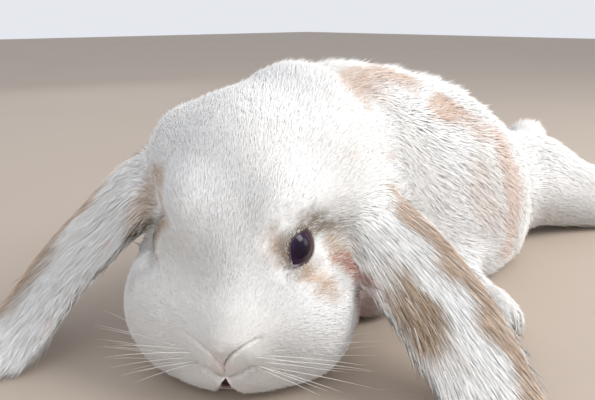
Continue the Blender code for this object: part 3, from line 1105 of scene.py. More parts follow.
    def build(self) -> tuple[bpy.types.Object, Surface]:
        """Make the skin.

        Returns:
            The skin object, and its surface as arrays for the coat.
        """
        skin = self.gathered()
        mesh = skin.data
        self.outermost(mesh)
        points, normals, edges = self.read(mesh)
        weights = self.regions(points, edges)
        self.write(mesh, self.sunk(points, normals, weights, edges))
        self.unwrap(skin)
        coarse = len(mesh.vertices)
        tree = tree_of([vert.co for vert in mesh.vertices])
        self.refined(mesh)
        points, _, edges = self.read(mesh)
        added = [tree.find(point)[1] for point in points[coarse:]]
        weights = np.vstack([weights, weights[added]])
        close = self.near_face(points)
        points = spread(points, edges, 4, 0.5 * close)
        self.write(mesh, points)
        flat, normals, _ = self.read(mesh)
        self.write(mesh, self.carved(flat, normals, weights))
        points, _, edges = self.read(mesh)
        points = spread(points, edges, 1, 0.35 * close)
        points[:, 2] = np.maximum(points[:, 2], self.floor_gap)
        self.write(mesh, points)
        points, normals, _ = self.read(mesh)
        paint(mesh, self.tinted(points, flat, weights))
        mesh.shade_smooth()
        mesh.calc_loop_triangles()
        corners = rows_of(mesh.loop_triangles, "vertices", 3, np.int32)
        loops = rows_of(mesh.loop_triangles, "loops", 3, np.int32)
        charts = rows_of(mesh.uv_layers["OFBake"].uv, "vector", 2)[loops]
        LOG.info("skin: %d triangles", len(corners))
        return skin, Surface(points, flat, normals, weights, corners, charts)

    @staticmethod
    def near_face(points: np.ndarray) -> np.ndarray:
        """Mark the finely divided places of the face.

        Args:
            points: places in metres.

        Returns:
            For each 1 by the eyes and the nose, and 0 elsewhere.
        """
        local = HEAD.inward(points)
        close = 1 - ease(np.linalg.norm(local - MUZZLE.spot, axis=1), 15, 19)
        for socket in SOCKETS.values():
            gap = np.linalg.norm(local - socket.middle(), axis=1)
            close = np.maximum(close, 1 - ease(gap, 12.5, 15.5))
        return close


@dataclass
class Tufts:
    """Roots of the coat's tufts, one row each."""

    root: np.ndarray
    normal: np.ndarray
    weights: np.ndarray
    chart: np.ndarray
    flow: np.ndarray
    tint: np.ndarray
    bare: np.ndarray

    def pick(self, chosen: np.ndarray) -> "Tufts":
        """Return some of the tufts."""
        return Tufts(*(getattr(self, name)[chosen] for name in self.__dataclass_fields__))


@dataclass
class Pelt:
    """The whole coat: sows roots on the skin, combs them and grows the tufts.

    The fields under, strands and pale are shares of the tufts: the short broad ones
    underneath, the brown ones on the ears and the paler ones in the fawn. Standing
    tufts are lifted by some more degrees at root and tip.
    """

    surface: Surface
    tree: BVHTree
    most: int = 32800
    sink: float = 0.35
    under: float = 0.24
    under_length: float = 0.66
    under_width: float = 2.3
    leaders: float = 1 / 14
    lengths: tuple[float, float] = (0.72, 1.22)
    widths: tuple[float, float] = (0.75, 1.2)
    halves: tuple[float, float] = (0.45, 0.55)
    section: tuple[float, float] = (0.62, 0.32)
    steepness: float = 4.0
    standing_lift: tuple[float, float] = (14.0, 20.0)
    clear: tuple[float, float] = (0.0002, 0.0006)
    tone: float = 0.022
    strands: float = 0.30
    pale: float = 0.20

    def sown(self, rng: np.random.Generator) -> Tufts:
        """Spread roots evenly over the skin, as thickly as each region's coat is.

        Args:
            rng: the seeded source of chance.

        Returns:
            The roots, combed.
        """
        surface = self.surface
        corners = surface.points[surface.triangles]
        cross = np.cross(corners[:, 1] - corners[:, 0], corners[:, 2] - corners[:, 0])
        area = np.linalg.norm(cross, axis=1) / 2 / MM ** 2
        weights = surface.weights[surface.triangles].mean(axis=1)
        middle = corners.mean(axis=1)
        normal = unit(cross)
        thick = by_region(weights, "per_mm2") * THIN_OUT
        under = ease(-normal[:, 2], 0.3, 0.8) * (1 - ease(middle[:, 2], 0.003, 0.014))
        thick = thick * (1 - 0.8 * under)
        local = HEAD.inward(middle)
        back = part_of(weights, Region.HEAD) * (1 - ease(local[:, 0], 0, 25))
        thick = thick * (1 - 0.35 * back)
        thick = thick * (1 + 0.9 * MUZZLE.front(local) * part_of(weights, Region.HEAD))
        bare = MARKINGS_AND_SHADE.bare(middle, weights)
        thick = thick * (1 - 0.75 * ease(bare, 0.3, 1.0))
        total = np.cumsum(area * thick)
        count = int(total[-1])
        marks = (np.arange(count) + rng.uniform(0, 1, count)) * (total[-1] / count)
        chosen = np.minimum(np.searchsorted(total, marks), len(total) - 1)
        one, two = rng.uniform(0, 1, (2, count))
        fold = one + two > 1
        one[fold], two[fold] = 1 - one[fold], 1 - two[fold]
        share = np.stack([1 - one - two, one, two], axis=1)[:, :, None]
        index = surface.triangles[chosen]
        root = (surface.points[index] * share).sum(axis=1)
        normal = unit((surface.normals[index] * share).sum(axis=1))
        weights = (surface.weights[index] * share).sum(axis=1)
        chart = (surface.charts[chosen] * share).sum(axis=1)
        flow = self.combed(root, normal, weights)
        tufts = Tufts(root, normal, weights, chart, flow, MARKINGS_AND_SHADE.colours(root, weights),
                      MARKINGS_AND_SHADE.bare(root, weights))
        flat = (surface.flat[index] * share).sum(axis=1)
        notch = MUZZLE.slit(HEAD.inward(flat))
        for ahead in (0.0, 0.8, 1.6, 2.4):
            local = HEAD.inward(flat + flow * ahead * MM)
            notch = np.maximum(notch, MUZZLE.mouth(local) * (local[:, 0] > 24))
        free = notch * part_of(weights, Region.HEAD) < 0.4
        for socket in SOCKETS.values():
            lids = socket.lids(HEAD.inward(root))
            free &= (lids["gap"] > 0.30) | (lids["reach"] > 16)
        return tufts.pick(free)

    def combed(self, root: np.ndarray, normal: np.ndarray, weights: np.ndarray) -> np.ndarray:
        """Comb the coat: back from the nose, along the body and the limbs, and down.

        Args:
            root: the tufts' roots in metres.
            normal: the skin's normals there.
            weights: how much each root belongs to each region.

        Returns:
            The direction in which the coat lies at each root.
        """
        local = HEAD.inward(root)
        total = np.zeros_like(root)
        away = unit(local - (52.0, 0.0, 27.0))
        away = away + np.array((-0.35, 0.0, 0.0)) + np.array((0.0, 0.0, -0.30)) * (
            ease(np.abs(local[:, 1]), 12, 34))[:, None]
        total += HEAD.turned(away) * weights[:, :1]
        aside = np.zeros_like(root)
        aside[:, 0] = np.clip((root[:, 0] - SPINE_X) / 0.05, -1, 1)
        low = 1 - ease(normal[:, 2], 0.2, 0.95)
        back = np.tile((0.0, 1.0, 0.0), (len(root), 1))
        fall = np.tile((0.0, 0.0, -1.0), (len(root), 1))
        body = back + fall * (0.65 * low)[:, None] + aside * 0.25
        neck = back * 0.9 + fall * (0.75 * low)[:, None] + aside * 0.5
        total += neck * part_of(weights, Region.NECK)[:, None]
        rump = ease(root[:, 1], 0.06, 0.11)
        body = body + fall * (0.35 * rump)[:, None]
        total += body * part_of(weights, Region.TRUNK)[:, None]
        lobe = np.array(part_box("tail"))
        stem = np.array((lobe[:, 0].mean(), lobe[0, 1] + 0.004, lobe[0, 2] + 0.006))
        tail = unit(root - stem) * 0.8 + np.array((0.0, 0.45, 0.15))
        total += tail * part_of(weights, Region.TAIL)[:, None]
        for ear in EAR_LINES:
            own = part_of(weights, ear)
            near = own > 0.01
            place = ear_place(ear, root[near])
            cross = np.cross(place["way"], place["face"])
            splay = cross * (place["across"] / 26)[:, None]
            fan = place["way"] + splay * 0.35
            total[near] += fan * own[near][:, None]
        for limb, line in LIMB_LINES.items():
            foot = Region.FOREFOOT if limb in FORELEGS else Region.HINDFOOT
            own = part_of(weights, limb)
            side = line.project(root)
            close = side["distance"] < 0.030
            own = own + part_of(weights, foot) * close
            low = ease(root[:, 2], 0.004, 0.016)
            way = side["way"] + fall * (0.35 * low)[:, None]
            total += way * own[:, None]
        sway = Ripple(0.028, 12).at(root) * 0.30 + Ripple(0.011, 14).at(root) * 0.12
        sway = sway * (1 - 0.8 * part_of(weights, *EARS) - 0.4 * part_of(weights, Region.HEAD))
        flow = unit(tangent(total, normal))
        flow = unit(flow + np.cross(normal, flow) * sway[:, None])
        for socket in SOCKETS.values():
            outer = unit(local - socket.middle() - socket.axes()[2] * socket.radius)
            outer = unit(tangent(HEAD.turned(outer), normal))
            near = socket.near(local, 1.5, 6.0, 17)
            against = np.minimum(dot(flow, outer) - 0.25, 0.0)
            flow = unit(flow - outer * (against * near)[:, None])
        return flow

    def above(self, places: np.ndarray, margin: np.ndarray | float) -> np.ndarray:
        """Move places out so that none lies under the skin.

        Args:
            places: points of the tufts, in metres.
            margin: how far above the skin each is at least, in metres.

        Returns:
            The moved places.
        """
        margin = np.broadcast_to(margin, len(places))
        moved = places.copy()
        for number, place in enumerate(places):
            near, normal, _, _ = self.tree.find_nearest(place)
            lack = margin[number] - (Vector(place) - near).dot(normal)
            if lack > 0:
                moved[number] += np.array(normal) * min(lack, 0.002)
        return moved

    def grown(self, name: str, tufts: Tufts, rng: np.random.Generator) -> bpy.types.Object:
        """Grow one piece of coat.

        Args:
            name: the piece's name.
            tufts: its roots.
            rng: the seeded source of chance.

        Returns:
            The coat piece.
        """
        count = len(tufts.root)
        weights, normal = tufts.weights, tufts.normal
        local = HEAD.inward(tufts.root)
        head = part_of(weights, Region.HEAD)
        length = by_region(weights, "length") * rng.uniform(*self.lengths, count)
        nose = np.linalg.norm(local - (49.0, 0.0, 24.0), axis=1)
        length = length * (1 - head * 0.62 * (1 - ease(nose, 2, 34)))
        length = length * (1 + head * 0.75 * (1 - ease(local[:, 0], -22, 12)))
        for socket in SOCKETS.values():
            length = length * (1 - 0.55 * socket.near(local, 0.8, 7.0, 18) * head)
        length = length * (1 - 0.45 * tufts.bare)
        width = by_region(weights, "width") * rng.uniform(*self.widths, count)
        width = width * (1 - 0.25 * head * (1 - ease(nose, 4, 30)))
        under = rng.random(count) < self.under
        length = np.where(under, length * self.under_length, length)
        width = np.where(under, width * self.under_width, width)
        leaders = (rng.random(count) < self.leaders) & ~under
        leaders[0] = True
        tree = tree_of(tufts.root[leaders])
        lead = np.array([tree.find(point)[1] for point in tufts.root])
        lead = np.flatnonzero(leaders)[lead]
        standing = by_region(weights, "standing")
        crest = Ripple(0.035, 44).at(tufts.root)
        standing = standing * (1 + 1.2 * np.clip(crest, 0, 1)) * ease(normal[:, 2], 0.70, 0.97)
        roll = rng.random(count)
        up = (roll[lead] < standing[lead]).astype(float)
        up = np.maximum(up, (rng.random(count) < standing * 0.4).astype(float))
        steep = rng.normal(0, self.steepness, count)
        up = np.where(under, 0.0, up)
        root_lift = np.radians((by_region(weights, "root_lift") + steep) * (1 - 0.25 * under)
                               + self.standing_lift[0] * up)
        tip_lift = np.radians((by_region(weights, "tip_lift") + steep * 0.8) * (1 - 0.4 * under)
                              + self.standing_lift[1] * up)
        length = length * (1 - 0.10 * up)
        turn = np.radians(rng.normal(0, 1, count) * by_region(weights, "jitter"))
        aside = np.cross(normal, tufts.flow)
        flow = tufts.flow * np.cos(turn)[:, None] + aside * np.sin(turn)[:, None]
        first = flow * np.cos(root_lift)[:, None] + normal * np.sin(root_lift)[:, None]
        second = flow * np.cos(tip_lift)[:, None] + normal * np.sin(tip_lift)[:, None]
        base = tufts.root - normal * (self.sink * MM)
        middle = base + first * (length * self.halves[0] * MM)[:, None]
        end = middle + second * (length * self.halves[1] * MM)[:, None]
        clump = by_region(weights, "clump") * rng.uniform(0.5, 1.0, count)
        clump[(lead == np.arange(count)) | under] = 0
        middle = self.above(middle, length * 0.10 * MM)
        end = self.above(end, length * 0.16 * MM)
        away = np.linalg.norm(end[lead] - end, axis=1)
        clump = clump * (1 - ease(away, 0.005, 0.012))
        end = blend_to(end, end[lead], clump)
        middle = blend_to(middle, middle[lead], clump * 0.3)
        side = unit(np.cross(normal, first))
        ridge = np.cross(first, side)
        rings = []
        for angle in (90, 210, 330):
            turn_x, turn_y = math.cos(math.radians(angle)), math.sin(math.radians(angle))
            off = side * turn_x * self.section[0] + ridge * turn_y * self.section[1]
            rings.append(middle + off * (width * MM)[:, None])
        corners = np.stack([base, *rings, end], axis=1)
        low = rng.uniform(*self.clear, (count, 1))
        corners[:, :, 2] = np.maximum(corners[:, :, 2], low)
        start = np.arange(count)[:, None] * 5
        faces = np.concatenate([start + np.array(face) for face in (
            (0, 2, 1), (0, 3, 2), (0, 1, 3), (1, 2, 4), (2, 3, 4), (3, 1, 4))])
        piece = mesh_from(name, corners.reshape(-1, 3), [faces])
        self.dress(piece.data, tufts, corners, rng)
        return piece

    def dress(self, mesh: bpy.types.Mesh, tufts: Tufts, corners: np.ndarray,
              rng: np.random.Generator) -> None:
        """Give a coat piece its colours, its map and its soft shading.

        Args:
            mesh: the piece's mesh.
            tufts: its roots.
            corners: its vertex places, five for each tuft: root, three round it, tip.
            rng: the seeded source of chance.
        """
        count = len(tufts.root)
        tint = tufts.tint * rng.normal(1.0, self.tone, (count, 1))
        whiteness = ease(tufts.tint[:, 2], 0.35, 0.70)
        ears = part_of(tufts.weights, *EARS)
        strands = (rng.random(count) < self.strands) * (1 - whiteness) * ears
        tint = blend_to(tint, STRAND, strands * 0.6)
        pale = (rng.random(count) < self.pale) * (1 - whiteness)
        tint = blend_to(tint, WHITE, pale * 0.4)
        # Painted shade deep in the coat darkens each tuft's root a little; its tip is a little
        # lighter.
        root = tint * np.array((0.98, 0.97, 0.95))
        tip = np.clip(tint * 1.02, 0, 0.95)
        colours = np.stack([root, tint, tint, tint, tip], axis=1)
        paint(mesh, colours.reshape(-1, 3))
        spot = rng.uniform(-0.0008, 0.0008, (count, 1, 2))
        fan = np.array([(0, 0), (-1, 1.1), (0, 1.4), (1, 1.1), (0, 2.4)])
        chart = np.clip(tufts.chart[:, None] + spot + (fan - (0, 1.2)) * 0.0011, 0.001, 0.999)
        order = rows_of(mesh.loops, "vertex_index", 1, np.int32)[:, 0]
        layer = mesh.uv_layers.new(name="OFBake")
        layer.uv.foreach_set("vector", chart.reshape(-1, 2)[order].astype(np.float32).ravel())
        ring = corners[:, 1:4].mean(axis=1)
        centre = np.stack([corners[:, 0], ring, ring, ring, corners[:, 4]], axis=1)
        own = corners - centre
        own = own / np.maximum(np.linalg.norm(own, axis=2, keepdims=True), TINY)
        ears = ears[:, None, None]
        head = part_of(tufts.weights, Region.HEAD)[:, None, None]
        soft = unit(own * (0.24 + 0.36 * ears + 0.06 * head)
                    + tufts.normal[:, None] * (0.85 - 0.25 * ears) + tufts.flow[:, None] * 0.10
                    + np.array((0.0, 0.0, 0.40)) * ears)
        mesh.normals_split_custom_set_from_vertices(soft.reshape(-1, 3))

    def build(self) -> list[bpy.types.Object]:
        """Grow the coat.

        Returns:
            The coat pieces, each within the limit for one piece.
        """
        rng = np.random.default_rng(SEED)
        tufts = self.sown(rng)
        owner = tufts.weights.argmax(axis=1)
        groups = {f"coat_{name}": (FLESH[name],) for name in (
            "head", "neck", "trunk", "tail", "ear_left", "ear_right")}
        groups["coat_forelegs"] = (*FORELEGS, Region.FOREFOOT)
        groups["coat_hindlegs"] = (*HINDLEGS, Region.HINDFOOT)
        pieces = []
        for name, regions in groups.items():
            own = np.flatnonzero(np.isin(owner, [region.value for region in regions]))
            order = own[np.argsort(tufts.root[own, 1], kind="stable")]
            parts = np.array_split(order, max(1, math.ceil(len(order) / self.most)))
            for number, part in enumerate(parts):
                label = name if len(parts) == 1 else f"{name}_{number + 1}"
                pieces.append(self.grown(label, tufts.pick(part), rng))
                LOG.info("%s: %d tufts", label, len(part))
        return pieces


@dataclass
class Eye:
    """One eyeball with a cornea raised by some millimetres over a share of its radius."""

    socket: EyeSocket
    around: int = 48
    rings: int = 32
    cornea: float = 0.35
    cornea_share: float = 0.75

    def build(self) -> bpy.types.Object:
        """Turn the ball so that its pole lies along the line of sight.

        Returns:
            The eyeball.
        """
        ball = bmesh.new()
        bmesh.ops.create_uvsphere(ball, u_segments=self.around, v_segments=self.rings,
                                  radius=self.socket.radius * MM)
        for vert in ball.verts:
            ring = math.hypot(vert.co.x, vert.co.y) / (self.socket.radius * MM)
            if vert.co.z > 0:
                vert.co.z += self.cornea * MM * max(0.0, 1 - (ring / self.cornea_share) ** 2)
        world = HEAD.turned(self.socket.axes())
        x_way, z_way = Vector(world[0]), Vector(world[2])
        y_way = z_way.cross(x_way)
        turn = Matrix((x_way, y_way, z_way)).transposed()
        bmesh.ops.rotate(ball, verts=ball.verts, cent=(0, 0, 0), matrix=turn)
        place = HEAD.place(self.socket.middle())
        bmesh.ops.translate(ball, verts=ball.verts, vec=Vector(place))
        return from_bmesh("eyeball_left" if self.socket.side > 0 else "eyeball_right", ball)


def from_bmesh(name: str, shape: bmesh.types.BMesh) -> bpy.types.Object:
    """Turn a finished bmesh into a smooth object at the origin.

    Args:
        name: the object's name.
        shape: the bmesh, which is freed.

    Returns:
        The object, linked into the scene.
    """
    mesh = bpy.data.meshes.new(name)
    closed(shape, mesh)
    mesh.shade_smooth()
    return linked(name, mesh)


@dataclass
class Hairs:
    """Single long hairs: whiskers and lashes, as thin tapered rods."""

    sides: int = 5
    taper: float = 0.7
    least: float = 0.00002

    def width(self, thick: float, share: float) -> float:
        """Return how thick a hair is at a share of its length."""
        return thick * (1 - share) ** self.taper + self.least

    def rod(self, shape: bmesh.types.BMesh, line: np.ndarray, thick: float) -> None:
        """Add one tapered hair.

        Args:
            shape: the bmesh that takes it.
            line: its points in metres, from root to tip.
            thick: its diameter at the root, in metres.
        """
        ring = bmesh.ops.create_circle(shape, cap_ends=True, segments=self.sides, radius=thick / 2)
        rim = ring["verts"]
        ways = np.gradient(line, axis=0)
        turn = Vector((0, 0, 1)).rotation_difference(Vector(ways[0])).to_matrix()
        bmesh.ops.rotate(shape, verts=rim, cent=(0, 0, 0), matrix=turn)
        bmesh.ops.translate(shape, verts=rim, vec=Vector(line[0]))
        face = next(f for f in rim[0].link_faces if len(f.verts) == self.sides)
        face.normal_update()
        if face.normal.dot(Vector(ways[0])) > 0:
            face.normal_flip()
        keep = face
        for step in range(1, len(line)):
            edges = list(keep.edges) if step == 1 else rim_edges
            made = bmesh.ops.extrude_edge_only(shape, edges=edges)["geom"]
            rim = [g for g in made if isinstance(g, bmesh.types.BMVert)]
            rim_edges = [g for g in made if isinstance(g, bmesh.types.BMEdge)]
            turn = Vector(ways[step - 1]).rotation_difference(Vector(ways[step])).to_matrix()
            bmesh.ops.rotate(shape, verts=rim, cent=Vector(line[step - 1]), matrix=turn)
            bmesh.ops.translate(shape, verts=rim, vec=Vector(line[step] - line[step - 1]))
            left = self.width(thick, step / (len(line) - 1))
            was = self.width(thick, (step - 1) / (len(line) - 1))
            about = Matrix.Translation(-Vector(line[step]))
            bmesh.ops.scale(shape, verts=rim, vec=(left / was,) * 3, space=about)
        bmesh.ops.contextual_create(shape, geom=rim_edges)

    def build(self, name: str, lines: list[np.ndarray], thick: float) -> bpy.types.Object:
        """Make many hairs.

        Args:
            name: the piece's name.
            lines: each hair's points.
            thick: the diameter at the root.

        Returns:
            The hairs as one piece.
        """
        shape = bmesh.new()
        for line in lines:
            self.rod(shape, line, thick)
        bmesh.ops.recalc_face_normals(shape, faces=shape.faces)
        return from_bmesh(name, shape)


@dataclass
class Whiskers:
    """Whiskers from the pads of the muzzle, in head millimetres."""

    surface: Surface
    rows: int = 3
    each: int = 5
    length: float = 52.0
    first: tuple[float, float, float] = (41.0, 8.5, 25.5)
    sag: float = 0.20
    above_floor: float = 0.6
    thick: float = 0.00030

    def lines(self, rng: np.random.Generator) -> list[np.ndarray]:
        """Draw the whiskers.

        Args:
            rng: the seeded source of chance.

        Returns:
            The points of each, in metres.
        """
        tree = tree_of(self.surface.points)
        ahead, aside, height = self.first
        made = []
        for side in (1, -1):
            for row in range(self.rows):
                for place in range(self.each):
                    start = np.array((ahead - place * 1.9,
                                      side * (aside + place * 2.6 + row * 0.8),
                                      height - row * 3.4 + rng.normal(0, 0.3)))
                    root = tree.find(Vector(HEAD.place(start)))
                    inner = HEAD.inward(np.array([root[0]]))[0]
                    length = self.length * rng.uniform(0.55, 1.0) * (0.75 + 0.08 * place)
                    aim = unit(np.array((0.22 - 0.20 * place, side * 1.0,
                                         0.10 - 0.16 * row + rng.normal(0, 0.05))))
                    steps = np.linspace(0, 1, 9)[:, None]
                    bend = np.array((-self.sag, 0.0, -self.sag)) * steps ** 2
                    line = inner + (aim * steps + bend) * length
                    line[:, 2] = np.maximum(line[:, 2], self.above_floor)
                    made.append(HEAD.outward(line))
        return made

    def build(self, rng: np.random.Generator) -> bpy.types.Object:
        """Return the whiskers as one piece."""
        return Hairs().build("whiskers", self.lines(rng), self.thick)


@dataclass
class Lashes:
    """Dark lashes that stand from the lids, longest at the back of the upper lid."""

    count: int = 20
    start: float = -25.0
    sweep: float = 215.0
    stand: float = 0.45
    thick: float = 0.00012

    def build(self, rng: np.random.Generator) -> bpy.types.Object:
        """Set the lashes round both eyes.

        Args:
            rng: the seeded source of chance.

        Returns:
            The lashes as one piece.
        """
        lines = []
        for socket in SOCKETS.values():
            rows = socket.axes()
            for number in range(self.count):
                share = (number + rng.uniform(-0.8, 0.8)) / (self.count - 1)
                angle = math.radians(self.start + self.sweep * share)
                flat = np.array((-math.cos(angle) * 0.93, math.sin(angle)))
                size = socket.upper if flat[1] > 0 else socket.lower
                spot = np.array((flat[0] * socket.half_length * 0.95, flat[1] * (size + 0.25)))
                arc = np.linalg.norm(spot) / socket.radius
                flat = spot / np.linalg.norm(spot)
                radial = rows[0] * flat[0] + rows[1] * flat[1]
                out = rows[2] * math.cos(arc) + radial * math.sin(arc)
                along = radial * math.cos(arc) - rows[2] * math.sin(arc)
                length = rng.uniform(1.5, 3.2) * (1.5 if flat[0] < 0.1 and flat[1] > 0 else 0.6)
                steps = np.linspace(0, 1, 5)[:, None]
                way = out * 0.55 + along * 0.7 - rows[0] * 0.25
                start = socket.middle() + out * (socket.radius + self.stand)
                line = start + (way * steps + along * 0.25 * steps ** 2) * length
                lines.append(HEAD.outward(line))
        return Hairs(sides=4).build("lashes", lines, self.thick)


@dataclass
class Claws:
    """Small curved claws at the toes of the four feet, in millimetres."""

    length: float = 5.0
    thick: float = 1.5
    tip: float = 0.12
    depth: float = 1.25
    hook: float = 0.9
    gap: float = 4.3
    splay: float = 0.16
    droop: float = 0.22
    back: float = 3.0
    side_back: float = 1.3
    height: float = 4.0

    def claw(self, shape: bmesh.types.BMesh, place: Vector, way: Vector) -> None:
        """Add one claw.

        Args:
            shape: the bmesh that takes it.
            place: its root in metres.
            way: the direction in which its toe points.
        """
        horn = bmesh.new()
        bmesh.ops.create_cone(horn, cap_ends=True, segments=10, radius1=self.thick * MM / 2,
                              radius2=self.tip * MM, depth=self.length * MM)
        sides = [edge for edge in horn.edges
                 if abs(edge.verts[0].co.z - edge.verts[1].co.z) > 1e-5]
        bmesh.ops.subdivide_edges(horn, edges=sides, cuts=4)
        for vert in horn.verts:
            share = vert.co.z / (self.length * MM) + 0.5
            vert.co.y *= self.depth
            vert.co.y -= self.hook * MM * share * share
        turn = way.to_track_quat("Z", "Y").to_matrix()
        bmesh.ops.rotate(horn, verts=horn.verts, cent=(0, 0, 0), matrix=turn)
        bmesh.ops.translate(horn, verts=horn.verts, vec=place + way * self.length * MM * 0.3)
        pour(horn, shape)

    def build(self) -> bpy.types.Object:
        """Set four claws at the tip of each foot.

        Returns:
            The claws as one piece.
        """
        shape = bmesh.new()
        for line in LIMB_LINES.values():
            tip = Vector(line.points[-1]) * MM
            way = (Vector(line.points[-1]) - Vector(line.points[-2])).normalized()
            side = way.cross(Vector((0, 0, 1))).normalized()
            for toe in (-1.5, -0.5, 0.5, 1.5):
                aim = (way + side * toe * self.splay - Vector((0, 0, self.droop))).normalized()
                behind = abs(toe) * self.side_back + self.back
                place = tip + side * (toe * self.gap * MM) - way * (behind * MM)
                place.z = self.height * MM
                self.claw(shape, place, aim)
        bmesh.ops.recalc_face_normals(shape, faces=shape.faces)
        return from_bmesh("claws", shape)


class Wire:
    """A number from a socket that sums and products can be written with."""

    def __init__(self, finish: "Finish", socket: bpy.types.NodeSocket) -> None:
        """Hold a socket of a finish's nodes."""
        self.finish = finish
        self.socket = socket

    def joined(self, how: str, first: "Wire | float", second: "Wire | float") -> "Wire":
        """Return the result of a Math node on two values."""
        node = self.finish.node("ShaderNodeMath", {"operation": how}, {0: first, 1: second})
        return Wire(self.finish, node.outputs[0])

    def __add__(self, other: "Wire | float") -> "Wire":
        """Return self + other."""
        return self.joined("ADD", self, other)

    __radd__ = __add__

    def __sub__(self, other: "Wire | float") -> "Wire":
        """Return self - other."""
        return self.joined("SUBTRACT", self, other)

    def __rsub__(self, other: float) -> "Wire":
        """Return other - self."""
        return self.joined("SUBTRACT", other, self)

    def __mul__(self, other: "Wire | float") -> "Wire":
        """Return self * other."""
        return self.joined("MULTIPLY", self, other)

    __rmul__ = __mul__


class Finish:
    """A procedural material on one Principled shader."""

    def __init__(self, name: str) -> None:
        """Start a material by name.

        Args:
            name: the material's name.
        """
        self.material = bpy.data.materials.new(name)
        self.material.use_nodes = True
        self.nodes = self.material.node_tree.nodes
        self.links = self.material.node_tree.links
        self.shader = self.nodes["Principled BSDF"]

    def node(self, kind: str, settings: dict, inputs: dict) -> bpy.types.Node:
        """Add a node.

        Args:
            kind: the node's type.
            settings: its own settings, or a ramp's stops under "stops".
            inputs: values, wires or sockets by socket name or number.

        Returns:
            The node.
        """
        node = self.nodes.new(kind)
        for key, value in settings.items():
            if key == "stops":
                while len(node.color_ramp.elements) < len(value):
                    node.color_ramp.elements.new(0.5)
                for element, (place, colour) in zip(node.color_ramp.elements, value):
                    element.position = place
                    element.color = (*colour, 1)
            else:
                setattr(node, key, value)
        for key, value in inputs.items():
            self.feed(node.inputs[key], value)
        return node

    def feed(self, socket: bpy.types.NodeSocket, value: object) -> None:
        """Set a socket, or link it.

        Args:
            socket: the input.
            value: a number or colour to set, or a wire or socket to link.
        """
        if isinstance(value, Wire):
            self.links.new(value.socket, socket)
        elif isinstance(value, bpy.types.NodeSocket):
            self.links.new(value, socket)
        else:
            socket.default_value = value

    def noise(self, scale: float, detail: float = 3.0) -> Wire:
        """Add noise over the object's own coordinates.

        Args:
            scale: how fine it is.
            detail: how many finer layers it has.

        Returns:
            Its value as a wire.
        """
        place = self.node("ShaderNodeTexCoord", {}, {}).outputs["Object"]
        node = self.node("ShaderNodeTexNoise", {}, {"Vector": place, "Scale": scale,
                                                     "Detail": detail, "Roughness": 0.6})
        return Wire(self, node.outputs["Fac"])

    def mixed(self, factor: Wire | float, first: object, second: object) -> bpy.types.NodeSocket:
        """Return two colours mixed by a factor."""
        node = self.node("ShaderNodeMix", {"data_type": "RGBA"}, {0: factor, 6: first, 7: second})
        return node.outputs[2]

    def between(self, factor: Wire, one: tuple[float, ...],
                other: tuple[float, ...]) -> bpy.types.NodeSocket:
        """Return two plain colours mixed by a factor."""
        return self.mixed(factor, (*one, 1), (*other, 1))

    def marking(self) -> bpy.types.NodeSocket:
        """Return the piece's own colour attribute: its markings with their painted shade."""
        return self.node("ShaderNodeAttribute", {"attribute_name": "marking"}, {}).outputs["Color"]

    def bump(self, height: Wire, strength: float, distance: float) -> None:
        """Raise the surface a little where the height is large."""
        node = self.node("ShaderNodeBump", {}, {"Strength": strength, "Distance": distance,
                                                "Height": height})
        self.feed(self.shader.inputs["Normal"], node.outputs["Normal"])

    def set(self, **sockets: object) -> None:
        """Set the shader's sockets, with _ for a space in the name."""
        for key, value in sockets.items():
            self.feed(self.shader.inputs[key.replace("_", " ")], value)


@dataclass(frozen=True)
class CoatFinish:
    """White and fawn hair, matt with a faint sheen."""

    roughness: float = 0.80
    sheen: float = 0.20
    glow: float = 0.3

    def make(self) -> bpy.types.Material:
        """Mix the coat's markings and painted shade with a trace of darker hair.

        Returns:
            The material.
        """
        finish = Finish("hair")
        grain = finish.noise(900.0)
        darker = finish.mixed((1.0 - grain) * 0.07, finish.marking(), (0.62, 0.55, 0.47, 1))
        finish.set(Base_Color=darker, Roughness=self.roughness, Sheen_Weight=self.sheen,
                   Sheen_Roughness=0.6, Specular_IOR_Level=0.20, Subsurface_Weight=self.glow,
                   Subsurface_Radius=(1.0, 0.85, 0.7), Subsurface_Scale=0.0010)
        return finish.material


@dataclass(frozen=True)
class SkinFinish:
    """Skin under the coat, with the short fur of nose and lids as fine bump."""

    def make(self) -> bpy.types.Material:
        """Mix the skin's colours with fine grain and raise it as bump.

        Returns:
            The material.
        """
        finish = Finish("skin")
        grain = finish.noise(1400.0, 4.0)
        shade = finish.mixed(grain * 0.10, finish.marking(), (0.55, 0.42, 0.36, 1))
        finish.set(Base_Color=shade, Roughness=0.55 + grain * 0.2, Specular_IOR_Level=0.25,
                   Subsurface_Weight=0.5, Subsurface_Radius=(1.0, 0.7, 0.6),
                   Subsurface_Scale=0.001)
        finish.bump(grain, 0.6, 0.0004)
        return finish.material


